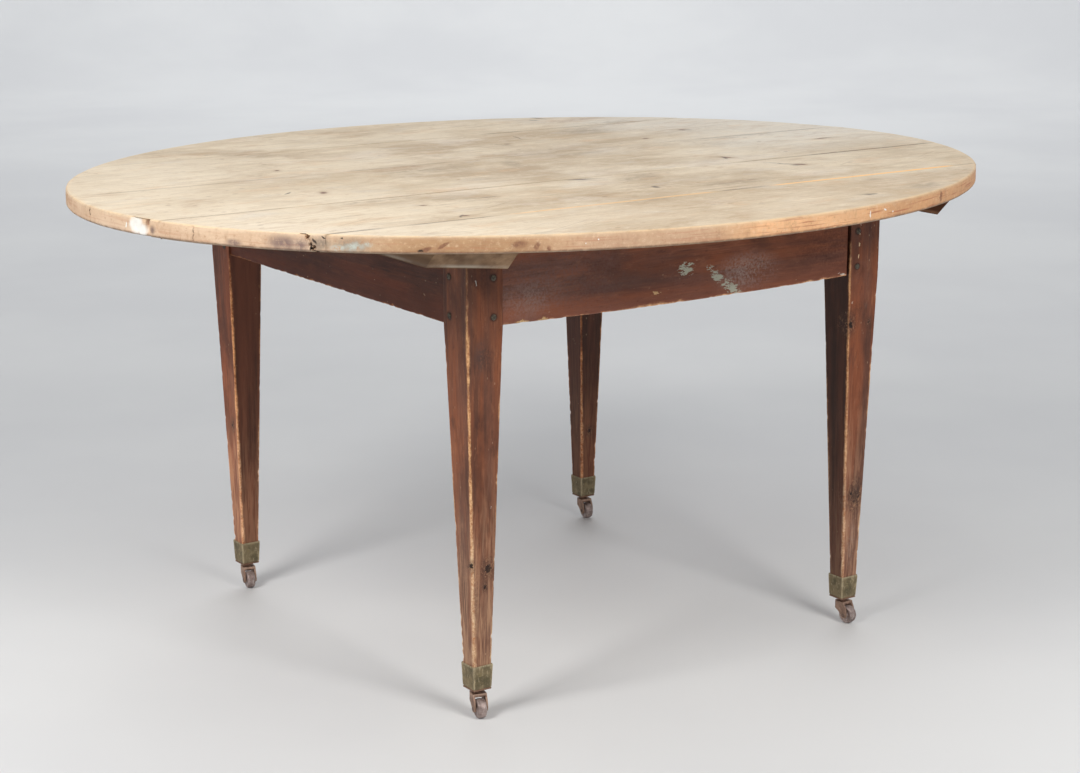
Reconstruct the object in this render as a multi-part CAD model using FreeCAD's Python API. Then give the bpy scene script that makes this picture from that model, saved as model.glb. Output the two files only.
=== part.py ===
import FreeCAD, Part

import math
import os

# Oval plank-top farmhouse dining table on square tapered legs with brass cup castors.
# Millimetres, +Z up, origin on the floor under the centre of the top.
# +X runs along the top boards, -Y is the front and -X the left end.

V = FreeCAD.Vector

# ---------------------------------------------------------------- driving dimensions
TABLE_H = 755.0            # floor to the top surface
TOP_T = 25.0               # thickness of the top boards
TOP_A = 775.0              # half length of the oval top, along X
TOP_B = 640.0              # half width of the oval top, along Y
RIM_R_UP = 3.5             # rounding of the rim's upper edge
RIM_R_LOW = 3.0            # rounding of the rim's lower edge
JOINTS_Y = (-390.0, -158.0, 117.0, 395.0)   # where the five boards meet
JOINT_GAP = 0.6            # shrinkage gap between boards
DOWEL_R, DOWEL_L = 5.0, 60.0
DOWEL_X = {0: (-520, -180, 180, 520), 1: (-620, -210, 210, 620),
           2: (-620, -210, 210, 620), 3: (-520, -180, 180, 520)}

BAT_T = 26.0               # cross battens under the top
BAT_IN, BAT_OUT = 404.0, 491.0               # inner and outer long edges, |x|
BAT_END_IN, BAT_END_OUT = 516.0, 446.0       # |y| of the ends on the underside
BAT_BEVEL = 26.0           # how far the end leans out towards the top face
BAT_SCREWS = ((-460, 14), (-424, -16), (-352, 14), (-200, -16), (-110, 14),
              (68, -16), (166, 14), (350, -16), (430, 14), (466, -16))

FRAME_X, FRAME_Y = 395.0, 398.0              # outer faces of the legs, |x| and |y|
LEG_TOP = 62.0             # square section at the top of a leg
LEG_FOOT = 31.6            # square section where the leg enters its cup
LEG_IN_CUP = 27.8          # square section at the foot's end, inside the cup
FOOT_SHIFT = {"front_left": (1.5, -1.0), "front_right": (3.0, -2.0),
              "back_left": (0.0, 0.0), "back_right": (0.0, 0.0)}   # slight lean of the legs
Z_FOOT = 48.0
Z_CUP_TOP = 82.5
Z_TAPER = 595.0            # taper starts just under the rails
CHAMFER_UP, CHAMFER_MID, CHAMFER_LOW = 1.2, 3.2, 2.2

RAIL_T = 24.0
RAIL_RECESS = 2.5          # rail face behind the leg face
RAIL_BOTTOM = 596.0
FRONT_BOW = 4.0            # worn sag of the front rail's lower edge
OPEN_SHOULDER = 4.0        # the front rail's right shoulder stands off its leg
TENON_T, TENON_L = 10.0, 40.0
TENON_Z0, TENON_Z1 = 603.0, 701.0
FIT = 0.1                  # clearance of the glued wooden joints
PEG_R, PEG_L, PEG_PROUD = 4.6, 33.0, 1.0
PEG_Z = (610.0, 667.0)
PEG_IN = 16.0              # peg centre from the leg's inner edge

# castor cup, outside: height, square section and corner chamfer, base to top
CUP_SECTIONS = ((43.0, 30.8, 1.8), (44.6, 31.4, 1.8), (45.2, 30.2, 1.8),
                (46.4, 30.4, 1.8), (47.0, 31.6, 1.8), (81.5, 35.0, 2.2), (82.5, 34.2, 2.2))
CUP_FLOOR = 47.0
CUP_FIT = 0.15
CUP_SCREW_Z, CUP_SCREW_DX, CUP_SCREW_FACE = 69.0, -6.0, 17.0
PIN_R = 3.5                # swivel rivet
TRAIL = 13.0               # castor trail: swivel axis to axle
WHEEL_R, WHEEL_W = 15.0, 14.0
HORN_GAP, HORN_CHEEK = 16.0, 3.0
Z_HORN_LOW, Z_HORN_TOP, Z_HORN_BOSS = 33.0, 37.0, 42.75
AXLE_R = 2.5
RUN = 0.08                 # radial running clearance of swivel and wheel

Z_UNDER = TABLE_H - TOP_T
LEG_CX, LEG_CY = FRAME_X - LEG_TOP / 2.0, FRAME_Y - LEG_TOP / 2.0
LEGS = {"front_left": (-1, -1), "front_right": (1, -1),
        "back_left": (-1, 1), "back_right": (1, 1)}
# direction in which each castor trails at rest, degrees from +X
CASTOR_DEG = {"front_left": -105.0, "front_right": -84.0,
              "back_left": -102.0, "back_right": -96.0}

os.makedirs("parts", exist_ok=True)


# ---------------------------------------------------------------- helpers
def solid_of(faces):
    s = Part.makeSolid(Part.makeShell(faces))
    if s.Volume < 0:
        s.reverse()
    return s


def poly(points):
    return Part.Face(Part.makePolygon([V(*p) for p in points] + [V(*points[0])]))


def ring(cx, cy, z, size, c):
    """Square section with chamfered corners, eight points."""
    h = size / 2.0
    k = h - c
    return [(cx + x, cy + y, z) for x, y in
            ((k, -h), (h, -k), (h, k), (k, h), (-k, h), (-h, k), (-h, -k), (-k, -h))]


def stack(rings):
    """Flat-sided solid through a stack of sections."""
    faces = [poly(rings[0]), poly(rings[-1])]
    for a, b in zip(rings, rings[1:]):
        n = len(a)
        for i in range(n):
            j = (i + 1) % n
            faces.append(poly([a[i], a[j], b[j], b[i]]))
    return solid_of(faces)


def box(x0, x1, y0, y1, z0, z1):
    x0, x1 = sorted((x0, x1))
    y0, y1 = sorted((y0, y1))
    z0, z1 = sorted((z0, z1))
    return Part.makeBox(x1 - x0, y1 - y0, z1 - z0, V(x0, y0, z0))


def cyl(r, length, base, axis):
    return Part.makeCylinder(r, length, V(*base), V(*axis))


def revolve(profile, base=(0, 0, 0), axis=(0, 0, 1)):
    """Closed (r, h) profile turned about the local Z axis, then set along axis at base."""
    w = Part.makePolygon([V(r, 0, h) for r, h in profile] + [V(profile[0][0], 0, profile[0][1])])
    s = Part.Face(w).revolve(V(0, 0, 0), V(0, 0, 1), 360)
    s = Part.makeSolid(s.Shells[0]) if s.ShapeType != "Solid" else s
    if s.Volume < 0:
        s.reverse()
    rot = FreeCAD.Rotation(V(0, 0, 1), V(*axis))
    s.Placement = FreeCAD.Placement(V(*base), rot)
    return s


def woodscrew(base, axis, length, head_r=4.4, head_h=3.0, r=2.1, slot=True):
    """Slotted countersunk wood screw, head face at base, pointing along axis."""
    tip = 5.0
    s = revolve([(0, 0), (head_r, 0), (head_r, 0.5), (r, head_h), (r, length * 0.45),
                 (r * 0.88, length * 0.47), (r * 0.88, length - tip), (0, length)])
    if slot:
        s = s.cut(Part.makeBox(head_r * 3, 1.0, 1.1, V(-head_r * 1.5, -0.5, -0.1)))
    rot = FreeCAD.Rotation(V(0, 0, 1), V(*axis))
    s.Placement = FreeCAD.Placement(V(*base), rot)
    return s


def screw_hole(base, axis, length, head_r=4.4, head_h=3.0, r=2.1, c=0.12):
    """Matching hole, a little wider than the screw all over."""
    tip = 5.0
    s = revolve([(0, -2), (head_r + c, -2), (head_r + c, 0.5), (r + c, head_h + c),
                 (r + c, length - tip + 1.0), (0, length + 1.2)])
    rot = FreeCAD.Rotation(V(0, 0, 1), V(*axis))
    s.Placement = FreeCAD.Placement(V(*base), rot)
    return s


def save(name, shape):
    solids = shape.Solids
    ok = all(s.isValid() and s.Volume > 0 for s in solids)
    out = solids[0] if len(solids) == 1 else Part.makeCompound(solids)
    out.exportStep(os.path.join("parts", name + ".step"))
    bb = out.BoundBox
    print("%-28s solids %2d %s vol %10.1f  box %.1f %.1f %.1f .. %.1f %.1f %.1f" % (
        name, len(solids), "ok" if ok else "BAD", sum(s.Volume for s in solids),
        bb.XMin, bb.YMin, bb.ZMin, bb.XMax, bb.YMax, bb.ZMax))


# ---------------------------------------------------------------- pocket screws (top to frame)
POCKET_TILT = 12.0         # degrees off vertical
POCKET_DROP = 34.0         # screw seat below the rail's top edge
POCKET_LEN = 50.0
POCKET_R = 7.5
RAIL_IN_X, RAIL_IN_Y = (v - RAIL_RECESS - RAIL_T for v in (FRAME_X, FRAME_Y))   # inner faces of the rails
pockets = []               # (point on the rail's top edge, unit axis pointing up)
_s, _c = math.sin(math.radians(POCKET_TILT)), math.cos(math.radians(POCKET_TILT))
for x in (-210.0, 210.0):
    pockets.append(((x, -RAIL_IN_Y - 10.0, Z_UNDER), (0, -_s, _c), "front"))
    pockets.append(((x, RAIL_IN_Y + 10.0, Z_UNDER), (0, _s, _c), "back"))
for y in (-255.0, -20.0, 255.0):
    pockets.append(((-RAIL_IN_X - 10.0, y, Z_UNDER), (-_s, 0, _c), "left"))
    pockets.append(((RAIL_IN_X + 10.0, y, Z_UNDER), (_s, 0, _c), "right"))


def seat(p, a):
    """Where the screw head sits, down the slanted axis from the rail's top edge."""
    t = POCKET_DROP / a[2]
    return tuple(p[i] - a[i] * t for i in range(3))


pocket_screws, pocket_cuts = [], {"front": [], "back": [], "left": [], "right": []}
pocket_bores = []
for p, a, side in pockets:
    b = seat(p, a)
    pocket_screws.append(woodscrew(b, a, POCKET_LEN, head_r=4.6, head_h=3.2, r=2.3))
    pocket_bores.append(screw_hole(b, a, POCKET_LEN, head_r=4.6, head_h=3.2, r=2.3))
    down = tuple(-v for v in a)
    pocket_cuts[side].append(cyl(POCKET_R, 70.0, b, down))
    pocket_cuts[side].append(pocket_bores[-1])

# ---------------------------------------------------------------- top boards
ell = Part.Ellipse(V(0, 0, Z_UNDER), TOP_A, TOP_B).toShape()
slab = Part.Face(Part.Wire([ell])).extrude(V(0, 0, TOP_T))
up = [e for e in slab.Edges if e.BoundBox.ZMin > TABLE_H - 0.01]
slab = slab.makeFillet(RIM_R_UP, up)
low = [e for e in slab.Edges if e.BoundBox.ZMax < Z_UNDER + 0.01]
slab = slab.makeFillet(RIM_R_LOW, low)

batten_screws = {}
batten_bores = {}
for side, sx in (("left", -1), ("right", 1)):
    batten_screws[side], batten_bores[side] = [], []
    for y, dx in BAT_SCREWS:
        base = (sx * ((BAT_IN + BAT_OUT) / 2.0) + dx, y, Z_UNDER - BAT_T)
        batten_screws[side].append(woodscrew(base, (0, 0, 1), 42.0))
        batten_bores[side].append(screw_hole(base, (0, 0, 1), 42.0))

dowels, dowel_bores = [], []
zc = Z_UNDER + TOP_T / 2.0
for j, y in enumerate(JOINTS_Y):
    for x in DOWEL_X[j]:
        dowels.append(cyl(DOWEL_R, DOWEL_L, (x, y - DOWEL_L / 2.0, zc), (0, 1, 0)))
        dowel_bores.append(cyl(DOWEL_R + FIT, DOWEL_L + 4.0, (x, y - DOWEL_L / 2.0 - 2.0, zc), (0, 1, 0)))

edges_y = (-TOP_B - 5.0,) + JOINTS_Y + (TOP_B + 5.0,)
names = ("board_1_front", "board_2", "board_3_middle", "board_4", "board_5_back")
cutters = dowel_bores + batten_bores["left"] + batten_bores["right"] + pocket_bores
for i, name in enumerate(names):
    y0 = edges_y[i] + (JOINT_GAP / 2.0 if i else 0.0)
    y1 = edges_y[i + 1] - (JOINT_GAP / 2.0 if i < 4 else 0.0)
    blank = box(-TOP_A - 5, TOP_A + 5, y0, y1, Z_UNDER - 1, TABLE_H + 1)
    board = slab.common(blank)
    bb = board.BoundBox
    for c in cutters:
        if c.BoundBox.intersect(bb):
            board = board.cut(c)
    save(name, board)
save("board_dowels", Part.makeCompound(dowels))

# ---------------------------------------------------------------- cross battens
for side, sx in (("left", -1), ("right", 1)):
    lo = [(sx * BAT_IN, -BAT_END_IN), (sx * BAT_OUT, -BAT_END_OUT),
          (sx * BAT_OUT, BAT_END_OUT), (sx * BAT_IN, BAT_END_IN)]
    hi = [(sx * BAT_IN, -BAT_END_IN - BAT_BEVEL), (sx * BAT_OUT, -BAT_END_OUT - BAT_BEVEL),
          (sx * BAT_OUT, BAT_END_OUT + BAT_BEVEL), (sx * BAT_IN, BAT_END_IN + BAT_BEVEL)]
    bat = stack([[(x, y, Z_UNDER - BAT_T) for x, y in lo], [(x, y, Z_UNDER) for x, y in hi]])
    for c in batten_bores[side]:
        bat = bat.cut(c)
    save("batten_" + side, bat)
    save("batten_screws_" + side, Part.makeCompound(batten_screws[side]))
save("pocket_screws", Part.makeCompound(pocket_screws))


# ---------------------------------------------------------------- pegs
def peg_sites(sx, sy):
    """(centre on the leg's face, direction into the leg) for the four pegs of a leg."""
    ex, ey = FRAME_X - LEG_TOP + PEG_IN, FRAME_Y - LEG_TOP + PEG_IN
    for z in PEG_Z:
        yield (sx * ex, sy * FRAME_Y, z), (0, -sy, 0)
        yield (sx * FRAME_X, sy * ey, z), (-sx, 0, 0)


def peg(p, d, turn):
    """Riven eight-sided peg with an eased head that stands proud of the leg."""
    base = V(p[0] - d[0] * PEG_PROUD, p[1] - d[1] * PEG_PROUD, p[2])
    secs = []
    for h, k in ((0.0, 0.72), (0.9, 0.97), (6.0, 1.0), (PEG_L, 0.9)):
        pts = []
        for i in range(8):
            a = math.radians(turn + 45.0 * i)
            pts.append((PEG_R * k * math.cos(a), PEG_R * k * math.sin(a), h))
        secs.append(pts)
    s = stack(secs)
    s.Placement = FreeCAD.Placement(base, FreeCAD.Rotation(V(0, 0, 1), V(*d)))
    return s


peg_holes = []
for leg, (sx, sy) in LEGS.items():
    pegs = []
    for n, (p, d) in enumerate(peg_sites(sx, sy)):
        pegs.append(peg(p, d, 11.0 * n))
        peg_holes.append(cyl(PEG_R + FIT, PEG_L + 2.0, (p[0] - d[0] * 2, p[1] - d[1] * 2, p[2]), d))
    save("pegs_" + leg, Part.makeCompound(pegs))


# ---------------------------------------------------------------- legs
def tenon_box(axis, sx, sy, c):
    """Tenon (c = 0) or mortise (c > 0) of the rail along the given axis, at one leg."""
    along, across = (FRAME_X, FRAME_Y) if axis == "x" else (FRAME_Y, FRAME_X)
    inner = along - LEG_TOP
    mid = across - RAIL_RECESS - RAIL_T / 2.0
    a0, a1 = inner - (1.0 if c else 0.0), inner + TENON_L + (0.6 if c else 0.0)
    b0, b1 = mid - TENON_T / 2.0 - c, mid + TENON_T / 2.0 + c
    if axis == "x":
        return box(sx * a0, sx * a1, sy * b0, sy * b1, TENON_Z0 - c, TENON_Z1 + c)
    return box(sx * b0, sx * b1, sy * a0, sy * a1, TENON_Z0 - c, TENON_Z1 + c)


def foot_centre(leg):
    """Centre of a leg's foot and of its castor's swivel axis."""
    (sx, sy), (dx, dy) = LEGS[leg], FOOT_SHIFT[leg]
    return sx * LEG_CX + dx, sy * LEG_CY + dy


for leg, (sx, sy) in LEGS.items():
    cx, cy = foot_centre(leg)
    tx, ty = sx * LEG_CX, sy * LEG_CY
    k = 14.0 / (Z_TAPER - Z_CUP_TOP)
    body = stack([ring(cx, cy, Z_FOOT, LEG_IN_CUP, CHAMFER_LOW),
                  ring(cx, cy, Z_CUP_TOP, LEG_FOOT, CHAMFER_LOW),
                  ring(tx + (cx - tx) * k, ty + (cy - ty) * k, Z_TAPER - 14.0,
                       LEG_TOP - (LEG_TOP - LEG_FOOT) * k, CHAMFER_MID),
                  ring(tx, ty, Z_TAPER, LEG_TOP, CHAMFER_UP),
                  ring(tx, ty, Z_UNDER, LEG_TOP, CHAMFER_UP)])
    body = body.cut(tenon_box("x", sx, sy, FIT)).cut(tenon_box("y", sx, sy, FIT))
    for h in peg_holes:
        if h.BoundBox.intersect(body.BoundBox):
            body = body.cut(h)
    # recess for the head of the swivel rivet
    body = body.cut(cyl(7.2, 5.0, (cx, cy, Z_FOOT - 1.0), (0, 0, 1)))
    # pilot holes of the cup screws
    for d in (-1, 1):
        site = (cx + CUP_SCREW_DX, cy + d * CUP_SCREW_FACE, CUP_SCREW_Z)
        body = body.cut(screw_hole(site, (0, -d, 0), 12.0, head_r=3.0, head_h=2.0, r=1.4))
    save("leg_" + leg, body)


# ---------------------------------------------------------------- rails
def arc_rail_profile(x0, x1, z_end, bow, z_top):
    """Front face outline of a rail whose lower edge sags by bow in the middle."""
    a, m, b = V(x0, 0, z_end), V((x0 + x1) / 2.0, 0, z_end - bow), V(x1, 0, z_end)
    edges = [Part.Arc(a, m, b).toShape(),
             Part.LineSegment(b, V(x1, 0, z_top)).toShape(),
             Part.LineSegment(V(x1, 0, z_top), V(x0, 0, z_top)).toShape(),
             Part.LineSegment(V(x0, 0, z_top), a).toShape()]
    return Part.Face(Part.Wire(edges))


inner_x, inner_y = FRAME_X - LEG_TOP, FRAME_Y - LEG_TOP
out_x, out_y = FRAME_X - RAIL_RECESS, FRAME_Y - RAIL_RECESS
for name, sy in (("front", -1), ("back", 1)):
    right = inner_x - (OPEN_SHOULDER if sy < 0 else 0.0)
    if sy < 0:
        prof = arc_rail_profile(-inner_x, right, RAIL_BOTTOM, FRONT_BOW, Z_UNDER)
        prof.translate(V(0, -out_y, 0))
        rail = prof.extrude(V(0, RAIL_T, 0))
        if rail.Volume < 0:
            rail.reverse()
    else:
        rail = box(-inner_x, right, out_y - RAIL_T, out_y, RAIL_BOTTOM, Z_UNDER)
    rail = rail.fuse(tenon_box("x", -1, sy, 0)).fuse(tenon_box("x", 1, sy, 0))
    if sy < 0:
        mid = out_y - RAIL_T / 2.0
        rail = rail.fuse(box(right - 1, inner_x + 1, -mid - TENON_T / 2.0, -mid + TENON_T / 2.0, TENON_Z0, TENON_Z1))
    rail = rail.removeSplitter()
    for c in pocket_cuts[name] + [h for h in peg_holes if h.BoundBox.intersect(rail.BoundBox)]:
        rail = rail.cut(c)
    save("rail_" + name, rail)
for name, sx in (("left", -1), ("right", 1)):
    rail = box(sx * (out_x - RAIL_T), sx * out_x, -inner_y, inner_y, RAIL_BOTTOM, Z_UNDER)
    rail = rail.fuse(tenon_box("y", sx, -1, 0)).fuse(tenon_box("y", sx, 1, 0)).removeSplitter()
    for c in pocket_cuts[name] + [h for h in peg_holes if h.BoundBox.intersect(rail.BoundBox)]:
        rail = rail.cut(c)
    save("rail_" + name, rail)


# ---------------------------------------------------------------- castors
def wheel_profile():
    """Half section of the turned wheel: crowned tread, rounded edges, dished flanks, hub bosses."""
    w = WHEEL_W / 2.0
    pts = [(AXLE_R + RUN, -w - 0.6), (5.0, -w - 0.6), (5.6, -w + 0.6), (10.0, -w + 0.6), (10.8, -w)]
    # rounded shoulder and crowned tread
    sh = 3.0
    for k in range(0, 7):
        a = math.radians(-90.0 + 15.0 * k)
        pts.append((WHEEL_R - 0.5 - sh + sh * math.cos(a), -w + sh + sh * math.sin(a)))
    for k in range(1, 6):
        h = -w + sh + (2 * (w - sh)) * k / 6.0
        pts.append((WHEEL_R - 0.5 * (h / (w - sh)) ** 2, h))
    for k in range(0, 7):
        a = math.radians(15.0 * k)
        pts.append((WHEEL_R - 0.5 - sh + sh * math.cos(a), w - sh + sh * math.sin(a)))
    pts += [(10.8, w), (10.0, w - 0.6), (5.6, w - 0.6), (5.0, w + 0.6), (AXLE_R + RUN, w + 0.6)]
    return pts


def horn():
    """Forked horn: round boss, top plate, back web and two swept cheeks. Trails along +X, axle along Y."""
    yo = HORN_GAP / 2.0 + HORN_CHEEK
    # side outline of a cheek, in XZ
    cx, cz, r = TRAIL, WHEEL_R, 5.4
    p_back_top, p_back = V(-9.5, 0, Z_HORN_TOP), V(-9.5, 0, 25.5)
    p_low = V(cx - 4.0, 0, cz - 3.628)
    p_end_mid = V(cx + 1.9, 0, cz - 5.055)
    p_front = V(cx + r, 0, cz)
    p_front_up, p_front_top = V(13.6, 0, 32.4), V(12.2, 0, Z_HORN_TOP)
    edges = [Part.LineSegment(p_back_top, p_back).toShape(),
             Part.Arc(p_back, V(1.0, 0, 20.5), p_low).toShape(),
             Part.Arc(p_low, p_end_mid, p_front).toShape(),
             Part.Arc(p_front, V(17.2, 0, 24.4), p_front_up).toShape(),
             Part.LineSegment(p_front_up, p_front_top).toShape(),
             Part.LineSegment(p_front_top, p_back_top).toShape()]
    prof = Part.Face(Part.Wire(edges))
    a = prof.copy()
    a.translate(V(0, -yo, 0))
    full = a.extrude(V(0, 2 * yo, 0))
    if full.Volume < 0:
        full.reverse()
    slot = box(-6.1, 40, -HORN_GAP / 2.0, HORN_GAP / 2.0, -5, Z_HORN_LOW)   # a thin web closes the back
    body = full.cut(slot)
    # round the back corners in plan
    back = Part.makeBox(60, 2 * yo, 60, V(-8.6, -yo, 0))
    back = back.makeFillet(5.5, [e for e in back.Edges
                                 if e.BoundBox.ZLength > 59 and e.CenterOfMass.x < 0])
    body = body.common(back)
    boss = revolve([(0, Z_HORN_TOP - 1.0), (8.3, Z_HORN_TOP - 1.0), (8.3, Z_HORN_TOP + 0.8),
                    (7.2, Z_HORN_TOP + 2.4), (6.9, Z_HORN_BOSS - 1.6), (8.2, Z_HORN_BOSS - 0.6),
                    (8.2, Z_HORN_BOSS), (0, Z_HORN_BOSS)])
    body = body.fuse(boss).removeSplitter()
    body = body.cut(cyl(PIN_R + RUN, 40, (0, 0, 20), (0, 0, 1)))
    body = body.cut(cyl(AXLE_R + 0.04, 60, (TRAIL, -30, WHEEL_R), (0, 1, 0)))
    return body


def axle():
    yo = HORN_GAP / 2.0 + HORN_CHEEK
    e = yo + 0.05
    prof = [(0, -e - 1.3), (1.9, -e - 1.2), (3.3, -e - 0.7), (3.9, -e), (AXLE_R, -e), (AXLE_R, e),
            (3.9, e), (3.3, e + 0.7), (1.9, e + 1.2), (0, e + 1.3)]
    return revolve(prof, (TRAIL, 0, WHEEL_R), (0, 1, 0))


def rivet():
    zl = Z_HORN_LOW - 0.15
    prof = [(0, zl - 2.2), (2.6, zl - 2.0), (4.6, zl - 1.2), (5.6, zl), (PIN_R, zl),
            (PIN_R, CUP_FLOOR + 0.05), (6.4, CUP_FLOOR + 0.05), (5.6, CUP_FLOOR + 1.2), (3.0, CUP_FLOOR + 2.2), (0, CUP_FLOOR + 2.3)]
    return revolve(prof)


HORN, AXLE, RIVET = horn(), axle(), rivet()
WHEEL = revolve(wheel_profile(), (TRAIL, 0, WHEEL_R), (0, 1, 0))
cup_screws = []
for leg, (sx, sy) in LEGS.items():
    cx, cy = foot_centre(leg)
    outer = stack([ring(cx, cy, z, size, ch) for z, size, ch in CUP_SECTIONS])
    c = 2 * CUP_FIT
    k = (LEG_FOOT - LEG_IN_CUP) / (Z_CUP_TOP - Z_FOOT)
    hollow = stack([ring(cx, cy, CUP_FLOOR, LEG_IN_CUP + c - k * (Z_FOOT - CUP_FLOOR), CHAMFER_LOW),
                    ring(cx, cy, Z_CUP_TOP + 2.0, LEG_FOOT + c + k * 2.0, CHAMFER_LOW)])
    cup = outer.cut(hollow).cut(cyl(PIN_R + 0.04, 20, (cx, cy, 33), (0, 0, 1)))
    for d in (-1, 1):
        site = (cx + CUP_SCREW_DX, cy + d * CUP_SCREW_FACE, CUP_SCREW_Z)
        cup = cup.cut(screw_hole(site, (0, -d, 0), 12.0, head_r=3.0, head_h=2.0, r=1.4))
        cup_screws.append(woodscrew(site, (0, -d, 0), 12.0, head_r=3.0, head_h=2.0, r=1.4))
    save("castor_cup_" + leg, cup)
    pin = RIVET.copy()
    pin.translate(V(cx, cy, 0))
    save("castor_rivet_" + leg, pin)
    place = FreeCAD.Placement(V(cx, cy, 0), FreeCAD.Rotation(V(0, 0, 1), CASTOR_DEG[leg]))
    for part_name, shape in (("castor_horn_", HORN), ("castor_axle_", AXLE), ("castor_wheel_", WHEEL)):
        s = shape.copy()
        s.Placement = place.multiply(s.Placement)
        save(part_name + leg, s)
save("cup_screws", Part.makeCompound(cup_screws))
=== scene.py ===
import math

import bmesh
import bpy
import numpy as np
from mathutils import Matrix, Vector


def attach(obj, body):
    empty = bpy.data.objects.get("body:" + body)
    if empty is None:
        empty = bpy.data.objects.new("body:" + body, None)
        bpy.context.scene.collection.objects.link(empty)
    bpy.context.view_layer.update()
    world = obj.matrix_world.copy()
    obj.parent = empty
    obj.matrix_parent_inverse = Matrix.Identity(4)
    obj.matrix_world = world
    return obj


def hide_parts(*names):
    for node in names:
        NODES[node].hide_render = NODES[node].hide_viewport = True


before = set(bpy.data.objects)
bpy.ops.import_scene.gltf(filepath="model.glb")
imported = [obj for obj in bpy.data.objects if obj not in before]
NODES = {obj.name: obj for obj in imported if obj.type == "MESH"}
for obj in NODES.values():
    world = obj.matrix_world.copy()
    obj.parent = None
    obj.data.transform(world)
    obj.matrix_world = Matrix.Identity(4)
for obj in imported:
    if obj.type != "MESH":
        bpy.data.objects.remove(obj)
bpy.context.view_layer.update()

rng = np.random.default_rng(7)
MM = 0.001
DATUM = 5.0                              # heights below are counted from 5 mm under the floor

# ------------------------------------------------------------------ sizes (mm)
A, B = 775.0, 640.0                      # half axes of the oval top
Z_TOP, Z_UNDER = 760.0, 735.0
R_UP, R_LOW = 3.5, 3.0                   # rim rounds
JOINTS = (-390.0, -158.0, 117.0, 395.0)  # seams between the five boards
FRAME_X, FRAME_Y, LEG_TOP = 395.0, 398.0, 62.0
Z_TAPER, Z_CUP_TOP, Z_FOOT = 600.0, 87.5, 53.0
LEG_FOOT, LEG_IN_CUP = 31.6, 27.8
LEG_CX, LEG_CY = FRAME_X - LEG_TOP / 2.0, FRAME_Y - LEG_TOP / 2.0
RAIL_T, RAIL_RECESS, RAIL_BOTTOM = 24.0, 2.5, 601.0
LEGS = {"front_left": (-1, -1), "front_right": (1, -1), "back_left": (-1, 1), "back_right": (1, 1)}
FOOT = {"front_left": (-362.5, -368.0), "front_right": (367.0, -369.0),
        "back_left": (-364.0, 367.0), "back_right": (364.0, 367.0)}
CASTOR_DEG = {"front_left": -105.0, "front_right": -84.0, "back_left": -102.0, "back_right": -96.0}
TRAIL, WHEEL_R, WHEEL_W = 13.0, 15.0, 14.0


# ------------------------------------------------------------------ numeric noise
def _hash(ix, iy, iz, seed):
    h = (ix * 374761393 + iy * 668265263 + iz * 1440662683 + seed * 974634777) & 0xFFFFFFFF
    h = ((h ^ (h >> 13)) * 1274126177) & 0xFFFFFFFF
    h = ((h ^ (h >> 16)) * 2246822519) & 0xFFFFFFFF
    return (h ^ (h >> 15)).astype(np.float64) / 4294967295.0


def vnoise(p, seed=0):
    """Smooth value noise in 0..1 at the points p (N x 3)."""
    p = np.asarray(p, float)
    i = np.floor(p).astype(np.int64)
    f = p - i
    f = f * f * (3.0 - 2.0 * f)
    out = np.zeros(len(p))
    for dx in (0, 1):
        for dy in (0, 1):
            for dz in (0, 1):
                w = ((f[:, 0] if dx else 1 - f[:, 0]) * (f[:, 1] if dy else 1 - f[:, 1])
                     * (f[:, 2] if dz else 1 - f[:, 2]))
                out += w * _hash(i[:, 0] + dx, i[:, 1] + dy, i[:, 2] + dz, seed)
    return out


def fbm(p, seed=0, octaves=4):
    p = np.asarray(p, float)
    total, amp, norm = np.zeros(len(p)), 1.0, 0.0
    for k in range(octaves):
        total += amp * vnoise(p * (2.0 ** k), seed + 17 * k)
        norm += amp
        amp *= 0.5
    return total / norm


def sstep(a, b, v):
    t = np.clip((np.asarray(v, float) - a) / (b - a), 0.0, 1.0)
    return t * t * (3.0 - 2.0 * t)


# ------------------------------------------------------------------ mesh helpers
def build(name, verts_mm, faces, attrs=None, sharp_deg=38.0, merge=1e-6):
    """Closed mesh object from points in mm, with per-point attributes, welded and outward facing."""
    me = bpy.data.meshes.new(name)
    me.from_pydata([tuple(v) for v in ((np.asarray(verts_mm, float) - (0.0, 0.0, DATUM)) * MM)], [], faces)
    me.update()
    for key, values in (attrs or {}).items():
        a = me.attributes.new(key, "FLOAT", "POINT")
        a.data.foreach_set("value", np.asarray(values, np.float32))
    bm = bmesh.new()
    bm.from_mesh(me)
    bmesh.ops.remove_doubles(bm, verts=bm.verts, dist=merge)
    bmesh.ops.dissolve_degenerate(bm, edges=bm.edges, dist=merge)
    bmesh.ops.recalc_face_normals(bm, faces=bm.faces)
    bm.to_mesh(me)
    bm.free()
    me.shade_smooth()
    me.set_sharp_from_angle(angle=math.radians(sharp_deg))
    ob = bpy.data.objects.new(name, me)
    bpy.context.scene.collection.objects.link(ob)
    return ob


def loop_faces(n_rings, n, flip=False):
    """Quads between consecutive closed rings of n points."""
    out = []
    for r in range(n_rings - 1):
        for i in range(n):
            j = (i + 1) % n
            q = (r * n + i, r * n + j, (r + 1) * n + j, (r + 1) * n + i)
            out.append(q[::-1] if flip else q)
    return out


def cut(ob, cutter):
    """Takes the cutter object's volume out of ob."""
    m = ob.modifiers.new("cut", "BOOLEAN")
    m.operation, m.solver, m.object = "DIFFERENCE", "EXACT", cutter
    dg = bpy.context.evaluated_depsgraph_get()
    dg.update()
    me = bpy.data.meshes.new_from_object(ob.evaluated_get(dg))
    ob.modifiers.remove(m)
    old = ob.data
    ob.data = me
    me.name = old.name
    bpy.data.meshes.remove(old)
    bpy.data.objects.remove(cutter)
    me.set_sharp_from_angle(angle=math.radians(38.0))
    return ob


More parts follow.
